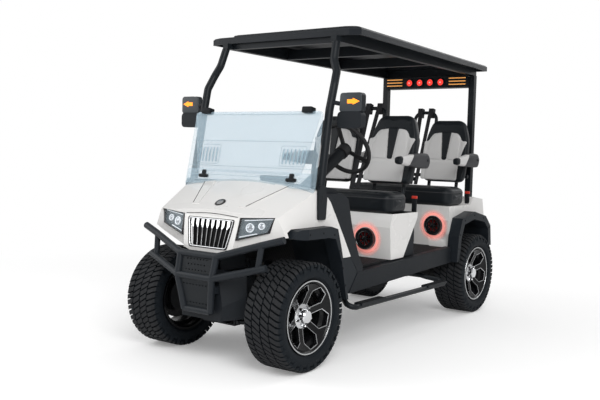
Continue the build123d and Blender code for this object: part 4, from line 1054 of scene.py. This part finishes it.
def makeLamp():
    normal = lampNormal()
    loop = [lampPoint(*corner) for corner in ((0, 0), (1, 0), (1, 1), (0, 1))]
    middle = sum(loop, Vector()) / 4

    def layer(name, scale, depth, thick, bevel=0.0):
        # the lamp's outline, shrunk and set back, as a plate
        face = [middle + (p - middle) * scale + normal * depth for p in loop]
        return outlinePlate(name, face, normal * thick, bevel)

    frame = layer("lampFrame", 0.985, -0.014, 0.018, 0.0015)
    takeOut(frame, layer("lampHole", 0.87, -0.03, 0.06))
    bowl = layer("lampBowl", 0.93, -0.012, 0.005, 0.001)
    rings = []
    cores = []
    for across, up, radius in lampSet["rings"]:
        spot = facing(lampPoint(across, up, -0.008), normal)
        ring = roundTurned("ring", [(0, radius - 0.004), (0.008, radius - 0.004),
                                    (0.0095, radius - 0.002), (0.008, radius), (0, radius),
                                    (0, radius - 0.004)], spot, 40)
        rings.append(ring)
        cores.append(roundTurned("core", [(0, 0), (0, radius - 0.005), (0.004, radius - 0.006),
                                          (0.008, radius * 0.45), (0.0095, 0)], spot, 32))
    strips = []
    for up, start, end in ((0.14, 0.10, 0.60), (0.86, 0.14, 0.90)):
        strips.append(tubeRun("strip", [lampPoint(start + (end - start) * k / 3, up,
                                                  -0.004) for k in range(4)], 0.0028, 8))
    lens = layer("lampLens", 0.955, 0.0015, 0.002, 0.0008)
    return [("Frame", frame, glossBlack, "lamp"), ("Bowl", bowl, lampGrey, "lamp"),
            ("Rings", joined("lampRings", rings), whiteRing, "lamp"),
            ("Cores", joined("lampCores", cores), reflector, "lamp"),
            ("Strips", joined("lampStrips", strips), whiteRing, "lamp"),
            ("Lens", lens, lampClear, "lamp")]


def placeLamps():
    for name, piece, material, slotName in makeLamp():
        piece.name = "lamp" + name + "Left"
        finish(piece, material)
        if name == "Frame":
            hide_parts("headlamps")
        finish(mirrorOf(piece, "lamp" + name + "Right"), material)


grilleSet = {"low": (1.258, 0.629), "high": (1.231, 0.788), "lowHalf": 0.139, "highHalf": 0.171,
             "depth": 0.030, "blades": 8, "pitch": 0.038,
             "tips": ((0.934, 0.0036, 0.66), (1, 0.0095, 0.77), (1, 0.0105, 0.95)),
             "ridges": ((0.82, 0.0015, 0.05), (0.934, 0.0019, 0.655)), "round": 0.016, "sink": 0.003}


def makeGrille():
    lowX, lowZ = grilleSet["low"]
    highX, highZ = grilleSet["high"]
    lean = Vector((highZ - lowZ, 0, lowX - highX)).normalized()
    corners = [(lowX, -grilleSet["lowHalf"], lowZ), (lowX, grilleSet["lowHalf"], lowZ),
               (highX, grilleSet["highHalf"], highZ), (highX, -grilleSet["highHalf"], highZ)]
    back = [Vector(c) - lean * grilleSet["depth"] for c in corners]
    finish(outlinePlate("grilleBacking", back, lean * 0.003), slotDark)
    for name, material, across in (("grilleTips", brightChrome, grilleSet["tips"]),
                                   ("grilleRidges", brushedSteel, grilleSet["ridges"])):
        # along each blade: share of its y, half width, share of the grille's height
        blades = []
        for index in range(grilleSet["blades"]):
            y = -grilleSet["highHalf"] + grilleSet["pitch"] * (index + 1)
            line = [(y * part - half, share) for part, half, share in across]
            line += [(y * part + half, share) for part, half, share in across[::-1]]
            points = [Vector((lowX, 0, lowZ)).lerp(Vector((highX, 0, highZ)),
                                                   share) + Vector((0, out, 0)) + lean * 0.0008 for out,
                      share in line]
            blades.append(outlinePlate("blade", points, lean * 0.002, 0.0005, 1))
        finish(joined(name, blades), material)
    # a bright bead runs round the frame
    bead = [Vector(c) + lean * 0.0015 for c in corners]
    middle = sum(bead, Vector()) / 4
    line = []
    for index in range(4):
        corner, before, after = bead[index], bead[index - 1], bead[(index + 1) % 4]
        line += [corner + (before - corner).normalized() * grilleSet["round"],
                 corner + (middle - corner).normalized() * grilleSet["sink"],
                 corner + (after - corner).normalized() * grilleSet["round"]]
    for name, scale, radius, material in (("grilleBead", 0.955, 0.0036, brightChrome),
                                          ("grilleEdge", 1.0, 0.0026, slotDark)):
        shrunk = [middle + (p - middle) * scale for p in line]
        finish(tubeRun(name, shrunk, radius, 8, closed=True), material)


def seamLine(name, nodeName, starts, ahead, radius, material, sink=0.0):
    # a fine line that lies on a CAD surface, found point by point along it
    points = []
    for start in starts:
        place = surfaceHit(nodeName, start, ahead)[0]
        points.append(place - Vector(ahead).normalized() * (radius * 0.2 - sink))
    return finish(tubeRun(name, points, radius, 6), material)


def makeBadge():
    place, normal = surfaceHit("front_cowl", (1.190, 0, 1.05), (-0.15, 0, -1))
    spot = facing(place, normal, (1, 0, 0))
    ring = roundTurned("badgeRing", [(-0.002, 0), (-0.002, 0.032), (0.003, 0.032), (0.005, 0.029),
                                     (0.005, 0.024), (0.0025, 0.023), (0.0025, 0)], spot, 48)
    finish(ring, glossBlack)
    disc = roundTurned("badgeDisc", [(0.002, 0), (0.002, 0.0215), (0.0042, 0.0205), (0.0052, 0.012),
                                     (0.0056, 0)], spot, 48)
    finish(disc, machinedSilver)


placeLamps()
makeGrille()
makeBadge()
for seamSide, seamSign in sides:
    seamLine("hoodSeam" + seamSide, "front_cowl", [(x, seamSign * y, 1.2) for x,
                                                   y in ((1.175, 0.196), (1.12, 0.226), (1.06, 0.260),
                                                         (1.00, 0.294), (0.962, 0.316))], (0, 0, -1),
             0.0018, slotDark)
seamLine("hoodSeamFront", "front_cowl", [(1.4, y, 0.806 + 0.012 * (1 - abs(y) / 0.19)) for y in (-0.19,
                                                                                                 -0.12,
                                                                                                 -0.04,
                                                                                                 0.04,
                                                                                                 0.12,
                                                                                                 0.19)],
         (-1, 0, 0), 0.0018, slotDark)
print("nose ready")


# Guard panels with real holes

guardSet = {"holeRadius": 0.0048, "pitch": 0.0235, "thick": 0.003}


def makeGuardPanel(name, low, high, lowHalf, highHalf, rows):
    # a flat sheet between two cross tubes, punched with rows of holes
    start, end = Vector((low[0], 0, low[1])), Vector((high[0], 0, high[1]))
    rise = (end - start).normalized()
    ahead = Vector((rise.z, 0, -rise.x))
    height = (end - start).length
    corners = [start + Vector((0, -lowHalf, 0)), start + Vector((0, lowHalf, 0)),
               end + Vector((0, highHalf, 0)), end + Vector((0, -highHalf, 0))]
    sheet = outlinePlate(name, corners, ahead * guardSet["thick"], 0.0006, 1)
    drills = []
    for part, count, shift in rows:
        for index in range(count):
            y = (index - (count - 1) / 2) * guardSet["pitch"] + shift
            spot = start + rise * (height * part) + Vector((0, y, 0)) - ahead * 0.01
            deselectAll()
            bpy.ops.mesh.primitive_cylinder_add(vertices=12, radius=guardSet["holeRadius"], depth=0.05)
            drill = bpy.context.object
            drill.matrix_world = facing(spot, ahead)
            drills.append(settle(drill, "drill"))
    takeOut(sheet, joined("drills", drills))
    return finish(sheet, powderBlack)


topPanel = makeGuardPanel("guardPanelTop", (1.346, 0.490), (1.323, 0.600), 0.122, 0.128,
                          ((0.24, 7, 0.0), (0.50, 6, 0.0), (0.76, 7, 0.0)))
makeGuardPanel("guardPanelLow", (1.322, 0.304), (1.350, 0.478), 0.092, 0.118,
               ((0.20, 7, 0.0), (0.78, 8, 0.0)))
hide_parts("guard_panels")
print("guard ready")


# Mirrors, sound bar and speakers

headPlastic = surface("headPlastic", (0.030, 0.036, 0.042), (0.040, 0.046, 0.052), rough=0.4,
                      grain=1300, bump=0.15, specular=0.4)


mirrorSet = {"arrow": ((-0.040, -0.011), (-0.012, -0.011), (-0.012, -0.018), (0.022, 0.0),
                       (-0.012, 0.018), (-0.012, 0.011), (-0.040, 0.011)),
             "arrowPlace": (0.8105, 0.636, 1.442), "stretch": 1.3,
             "shell": ((0.530, 1.3855), (0.677, 1.3855), (0.677, 1.4895), (0.535, 1.4895)),
             "shellX": 0.7725, "shellDeep": 0.0385, "glass": ((0.570, 1.392), (0.670, 1.392),
                                                              (0.670, 1.482), (0.570, 1.482)),
             "glassX": 0.7705}


def placeMirrors():
    x, y, z = mirrorSet["arrowPlace"]
    for side, sign in sides:
        arrow = [(x, sign * (y + mirrorSet["stretch"] * a), z + b) for a, b in mirrorSet["arrow"]]
        finish(outlinePlate("mirrorArrow" + side, arrow, (0.0022, 0, 0), 0.0006, 1), amberGlow)
        shell = [(mirrorSet["shellX"], sign * a, b) for a, b in roundOutline(mirrorSet["shell"], 0.018)]
        finish(outlinePlate("mirrorShell" + side, shell, (mirrorSet["shellDeep"], 0, 0), 0.006, 3),
               headPlastic)
        glass = [(mirrorSet["glassX"], sign * a, b) for a, b in roundOutline(mirrorSet["glass"], 0.016)]
        finish(outlinePlate("mirrorGlass" + side, glass, (-0.0018, 0, 0), 0.0005, 1), reflector)


stripeAmber = glowing("stripeAmber", (0.80, 0.36, 0.10), 0.75)
# slats and stripes: how many, lowest row, pitch, ends in y, back and front, down, up, bevel
soundSet = {"face": -1.155, "z": 1.742, "lamps": 4, "pitch": 0.092,
            "slat": (7, 0.036, 0.012, (0.205, 0.352), (-0.001, 0.005), 0.0022, 0.0022, 0.0008),
            "stripe": (3, 0.018, 0.024, (0.208, 0.349), (0.0005, 0.0072), 0.0045, 0.0030, 0.001),
            "lens": ((0, 0), (0, 0.0245), (0.003, 0.024), (0.006, 0.015), (0.007, 0)),
            "bezel": ((0, 0.0245), (0, 0.031), (0.005, 0.030), (0.007, 0.0275), (0.005, 0.0245),
                      (0, 0.0245)),
            "dot": ((0.0068, 0), (0.0068, 0.0055), (0.0095, 0.005), (0.0105, 0))}


def makeSoundBar():
    face, z = soundSet["face"], soundSet["z"]
    for index in range(soundSet["lamps"]):
        y = (index - (soundSet["lamps"] - 1) / 2) * soundSet["pitch"]
        spot = facing((face + 0.0078, y, z), (1, 0, 0))
        for name, line, steps, material, slotName in (
                ("soundLens", soundSet["lens"], 32, redGlow, "lamp_red"),
                ("soundBezel", soundSet["bezel"], 32, glossBlack, "trim_plastic"),
                ("soundDot", soundSet["dot"], 24, whiteRing, "lamp")):
            finish(roundTurned(name + str(index + 1), line, spot, steps), material)
    for side, sign in sides:
        slats, stripes = [], []
        for kind, blocks in (("slat", slats), ("stripe", stripes)):
            count, start, pitch, ends, deep, down, up, bevel = soundSet[kind]
            low, high = sorted(sign * end for end in ends)
            for row in range(count):
                height = z - start + row * pitch
                blocks.append(roundBlock(kind, (face + deep[0], low, height - down),
                                         (face + deep[1], high, height + up), bevel, 1))
        finish(joined("soundSlats" + side, slats), softPlastic)
        finish(joined("soundStripes" + side, stripes), stripeAmber)


speakerSet = {"radius": 0.071, "inner": 0.046, "spokes": 8, "lean": -0.084, "halo": 0.075,
              "haloSteps": 3, "grow": 1.17}
# the cone is near black with red patches mottled in by noise: painted red glints of light
paintedGlintCone = surface("paintedGlintCone", (0.30, 0.012, 0.010), (0.02, 0.004, 0.004), rough=0.3, grain=300,
                  bump=0.05, mottle=90)


def haloMaterial():
    # painted light: the red light on the wall round a speaker is a glowing sheet that fades outwards
    # along the ring's own attribute
    material = glowing("paintedHaloGlow", (1.0, 0.36, 0.31), 0.62)
    tree = material.node_tree
    fade = tree.nodes.new("ShaderNodeAttribute")
    fade.attribute_name = "fade"
    link(tree, mathNode(tree, "MULTIPLY", fade.outputs["Fac"], 0.9),
         tree.nodes["Principled BSDF"].inputs["Alpha"])
    return material


def makeHalo(name, spot, material):
    # a flat ring of painted red light grows outwards in steps, and its fade falls from 1 to 0
    inner, grow, steps = speakerSet["halo"], speakerSet["grow"], speakerSet["haloSteps"]
    deselectAll()
    bpy.ops.mesh.primitive_circle_add(vertices=48, radius=inner, fill_type="NOTHING")
    ring = bpy.context.object
    bpy.ops.object.mode_set(mode="EDIT")
    for _ in range(steps):
        bpy.ops.mesh.extrude_region_move()
        bpy.ops.transform.resize(value=(grow, grow, 1))
    endEdit()
    outer = inner * grow ** steps
    fade = ring.data.attributes.new("fade", "FLOAT", "POINT")
    for vertex in ring.data.vertices:
        away = (vertex.co.length - inner) / (outer - inner)
        fade.data[vertex.index].value = max(0.0, 1.0 - away) ** 1.3
    ring.matrix_world = spot
    settle(ring, name)
    if ring.data.polygons[0].normal.x < 0:
        editAll(ring)
        bpy.ops.mesh.flip_normals()
        bpy.ops.object.mode_set(mode="OBJECT")
    return finish(ring, material)


def makeSpeakers():
    glow = haloMaterial()
    first = None
    for row, wallX, z, y, front in (("Front", 0.0910, 0.618, 0.278, 0.110),
                                    ("Rear", -0.7526, 0.655, 0.325, -0.740)):
        for side, sign in sides:
            spot = facing((front, sign * y, z), (1, 0, 0))
            wallSpot = facing((wallX + 0.0012, sign * y, z), (1, 0, speakerSet["lean"]))
            # painted light: a glowing ring on the wall stands for the speaker's red light falling there
            makeHalo("speakerHalo" + row + side, wallSpot, glow)
            radius, inner = speakerSet["radius"], speakerSet["inner"]
            basket = roundTurned("basket", [(-0.015, radius), (0.0045, radius),
                                            (0.0065, radius - 0.004), (0.0035, radius - 0.008),
                                            (0.0035, inner + 0.004), (0.0055, inner),
                                            (-0.012, inner - 0.004), (-0.015, inner), (-0.015, radius)],
                                 spot, 64)
            cone = roundTurned("cone", [(-0.010, inner - 0.003), (-0.018, 0.026), (-0.026, 0.012),
                                        (-0.026, 0), (-0.028, 0), (-0.028, 0.014), (-0.020, 0.028),
                                        (-0.012, inner - 0.002), (-0.010, inner - 0.003)], spot, 48)
            # the cone's red patches are painted glints on a black cone
            finish(cone, paintedGlintCone)
            cone.name = "speakerCone" + row + side
            parts = [basket, roundTurned("boss", [(-0.026, 0), (-0.026, 0.016), (0.004, 0.014),
                                                  (0.006, 0.010), (0.006, 0)], spot, 32)]
            for index in range(speakerSet["spokes"]):
                turn = Matrix.Rotation(2 * math.pi * index / speakerSet["spokes"], 4, "Z")
                spoke = roundBlock("spoke", (-0.0042, 0.010, -0.004), (0.0042, inner + 0.001, 0.0025),
                                   0.001, 1)
                parts.append(placedCopy(spoke, "spokeTwin", spot @ turn))
                drop(spoke)
            grill = joined("speaker" + row + side, parts)
            finish(grill, glossBlack)
            first = first or grill
    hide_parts("speakers")


placeMirrors()
makeSoundBar()
makeSpeakers()
print("lamps and speakers ready")


# Windscreen: fold strips, louvres and edge trim

screenSet = {"foot": (0.950, 0.953), "lean": 10.4, "front": 0.0185,
             "folds": ((0.060, 0.470), (0.114, 0.462), (0.264, 0.462), (0.420, 0.456)),
             "louvres": 6, "louvreY": 0.317, "louvrePitch": 0.0265,
             "footPane": ((-0.468, 0.004), (0.468, 0.004), (0.464, 0.092), (-0.464, 0.092)),
             "clips": (("clipLever", 0.330, 0.036, 0.040, 0.060, -0.004, 0.008),
                       ("clipFoot", 0.330, 0.016, 0.052, 0.086, -0.006, 0.004),
                       ("topHinge", 0.380, 0.034, 0.427, 0.461, -0.026, 0.014))}


def screenAhead():
    lean = math.radians(screenSet["lean"])
    return Vector((math.cos(lean), 0, math.sin(lean)))


def onScreen(y, height, lift=0.0):
    lean = math.radians(screenSet["lean"])
    ahead = screenAhead()
    up = Vector((-math.sin(lean), 0, math.cos(lean)))
    foot = Vector((screenSet["foot"][0], 0, screenSet["foot"][1]))
    return foot + up * height + ahead * (screenSet["front"] + lift) + Vector((0, y, 0))


def makeScreenTrim():
    strips = []
    for height, half in screenSet["folds"]:
        strips.append(tubeRun("foldLine", [onScreen(y * half, height, 0.0004) for y in (-1, -0.33, 0.33,
                                                                                        1)], 0.0014, 6))
    finish(joined("screenFoldLines", strips), screenEdge)
    slots = []
    for middle in (-screenSet["louvreY"], screenSet["louvreY"]):
        for index in range(screenSet["louvres"]):
            y = middle + (index - (screenSet["louvres"] - 1) / 2) * screenSet["louvrePitch"]
            slot = tubeRun("louvre", [onScreen(y, 0.138, 0.001), onScreen(y + 0.001, 0.166, 0.004),
                                      onScreen(y + 0.002, 0.194, 0.004),
                                      onScreen(y + 0.003, 0.222, 0.001)], 0.0046, 8)
            slots.append(slot)
        frame = [onScreen(middle + across, height, 0.0004) for across, height in roundOutline(
            [(-0.088, 0.126), (0.088, 0.126), (0.092, 0.240), (-0.084, 0.240)], 0.014, 3)]
        slots.append(tubeRun("louvreFrame", frame, 0.0013, 6, closed=True))
    finish(joined("screenLouvres", slots), screenEdge)
    first = None
    for side, sign in sides:
        # name, distance from the middle, half width, low, high, back and front
        for name, middle, half, low, high, start, end in screenSet["clips"]:
            line = [onScreen(sign * middle + across, height, start) for across, height in roundOutline(
                [(-half, low), (half, low), (half, high), (-half, high)], 0.007, 3)]
            piece = outlinePlate(name + side, line, screenAhead() * (end - start), 0.002, 2)
            finish(piece, softPlastic)
            first = first or piece
    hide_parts("screen_clips")
    foot = [onScreen(y, height, 0.0004) for y, height in screenSet["footPane"]]
    finish(outlinePlate("screenFoot", foot, screenAhead() * 0.0015, 0.0005, 1), screenGlass)


screenEdge = clearGlass("screenEdge", (0.42, 0.56, 0.64), alpha=0.55)
makeScreenTrim()


# Belts' latches, pedals, wheel boss and dash fittings

latchSet = (("Front", -0.250, 0.436, 0.7845, 0.874), ("Rear", -1.112, 0.420, 0.803, 0.884))


def makeLatches():
    for row, x, y, low, high in latchSet:
        for side, sign in sides:
            stalk = roundBlock("latchStalk" + row + side, (x - 0.008, sign * y - 0.017, low),
                               (x + 0.008, sign * y + 0.017, high), 0.004, 2)
            finish(stalk, softPlastic)
            button = roundBlock("latchButton" + row + side, (x - 0.010, sign * y - 0.019, high - 0.001),
                                (x + 0.010, sign * y + 0.019, high + 0.018), 0.004, 2)
            finish(button, latchRed)


pedalSet = (("Throttle", 0.150, 0.028), ("Brake", 0.262, 0.042))


def makePedals():
    for name, y, half in pedalSet:
        start = surfaceHit("floor_pan", (0.30, y, 0.585), (1, 0, 0))[0]
        pad = roundBlock("pad", (-0.055, -half, 0), (0.055, half, 0.008), 0.003, 2)
        ribs = [pad]
        for index in range(6):
            x = -0.042 + index * 0.0168
            ribs.append(roundBlock("rib", (x - 0.003, -half + 0.006, 0.007),
                                   (x + 0.003, half - 0.006, 0.0105), 0.001, 1))
        pedal = joined("pedal" + name, ribs)
        pedal.matrix_world = facing(start + Vector((-0.045, 0, 0.012)), (-1, 0, 0.75), (0, 1, 0))
        settle(pedal, "pedal" + name)
        finish(pedal, matRubber)
        arm = tubeRun("pedalArm" + name, [start + Vector((0.004, 0, 0.02)),
                                          start + Vector((-0.022, 0, 0.016)),
                                          start + Vector((-0.044, 0, 0.012))], 0.007, 8)
        finish(arm, powderBlack)


wheelBossSet = {"lean": 30, "middle": (0.304, 0.240, 1.190)}


def makeWheelBoss():
    lean = math.radians(wheelBossSet["lean"])
    ahead = Vector((-math.cos(lean), 0, math.sin(lean)))
    spot = facing(Vector(wheelBossSet["middle"]) - ahead * 0.002, ahead)
    cap = roundTurned("wheelBossCap", [(-0.004, 0), (-0.004, 0.044), (0.004, 0.043), (0.010, 0.036),
                                       (0.013, 0.018), (0.0135, 0)], spot, 48)
    finish(cap, softPlastic, "steering_wheel")
    ring = roundTurned("wheelBossRing", [(0.008, 0.036), (0.0125, 0.0345), (0.0125, 0.0305),
                                         (0.008, 0.0305), (0.008, 0.036)], spot, 48)
    finish(ring, machinedSilver, "steering_wheel")


def makeDashFittings():
    place = surfaceHit("dash", (0.30, 0.0, 0.93), (1, 0, 0))[0]
    spot = facing(place + Vector((-0.001, 0, 0.012)), (-1, 0, 0.35))
    for name, half, low, high, bevel, segments, material, slotName in (
            ("dashBezel", (0.125, 0.075), -0.004, 0.014, 0.005, 3, softPlastic, "trim_plastic"),
            ("dashScreenFace", (0.113, 0.063), 0.013, 0.0155, 0.001, 1, dashScreen, "screen_glass")):
        block = roundBlock(name, (-half[0], -half[1], low), (*half, high), bevel, segments)
        block.matrix_world = spot
        finish(settle(block, name), material)
    for number, y in (("1", 0.37), ("2", -0.37)):
        spot = facing(surfaceHit("dash", (0.30, y, 0.905), (1, 0, 0))[0], (-1, 0, 0.2))
        ring = roundTurned("ventRing", [(-0.006, 0.030), (-0.006, 0.044), (0.006, 0.043),
                                        (0.008, 0.038), (0.004, 0.032), (0.004, 0.030),
                                        (-0.006, 0.030)], spot, 40)
        parts = [ring]
        for row in range(4):
            slat = roundBlock("slat", (-0.031, -0.0238 + row * 0.0135, -0.002),
                              (0.031, -0.0202 + row * 0.0135, 0.003), 0.0006, 1)
            slat.matrix_world = spot
            parts.append(settle(slat, "ventSlat"))
        finish(joined("dashVent" + number, parts), softPlastic)


makeLatches()
makePedals()
makeWheelBoss()
makeDashFittings()


# Step pads, flare bolts and the wall beside the rear arch

stepSet = {"spans": (("Front", 0.330, 0.600), ("Rear", -0.480, -0.210)), "y": 0.566, "ribs": 5,
           "pitch": 0.0105}


def makeStepPads():
    for row, x0, x1 in stepSet["spans"]:
        for side, sign in sides:
            middle = sign * stepSet["y"]
            ribs = []
            for index in range(stepSet["ribs"]):
                y = middle + sign * (index * stepSet["pitch"] - 0.027)
                ribs.append(roundBlock("rib", (x0 + 0.008, y - 0.0022, 0.3055),
                                       (x1 - 0.008, y + 0.0022, 0.3085), 0.0008, 1))
            finish(joined("stepRibs" + row + side, ribs), matRubber)


flareBolts = {"Front": [(1.05, 0.729), (0.93, 0.730), (0.826, 0.714), (0.770, 0.620), (0.735, 0.520),
                        (0.706, 0.420)], "Rear": [(-0.748, 0.500), (-0.765, 0.600), (-0.840, 0.700),
                                                  (-0.999, 0.732), (-1.16, 0.703), (-1.270, 0.625)]}


def makeFlareBolts():
    for end, spots in flareBolts.items():
        for side, sign in sides:
            bolts = []
            for x, z in spots:
                bolts.append(roundTurned("bolt", [(-0.001, 0), (-0.001, 0.0065), (0.0015, 0.006),
                                                  (0.003, 0.003), (0.0032, 0)],
                                         facing((x, sign * 0.5401, z), (0, sign, 0)), 10))
            finish(joined("flareBolts" + end + side, bolts), softPlastic)


def makeRearWallPanels():
    # the white wall runs on to the arch in front of its liner
    for side, sign in sides:
        points = [(0.283, 0.500), (0.4545, 0.500), (0.4545, 0.700), (0.283, 0.700)]
        line = [(-0.766 + (z - 0.4988) * 0.0855 + 0.0006, sign * y, z) for y, z in points]
        panel = outlinePlate("rearWall" + side, line, (-0.006, 0, 0.0005), 0.001, 1)
        hole = roundTurned("hole", [(-0.05, 0), (-0.05, 0.0705), (0.05, 0.0705), (0.05, 0)],
                           facing((-0.752, sign * 0.325, 0.655), (1, 0, 0)), 64)
        takeOut(panel, hole)
        finish(panel, pearlPaint)


makeStepPads()
makeFlareBolts()
makeRearWallPanels()
print("small fittings ready")
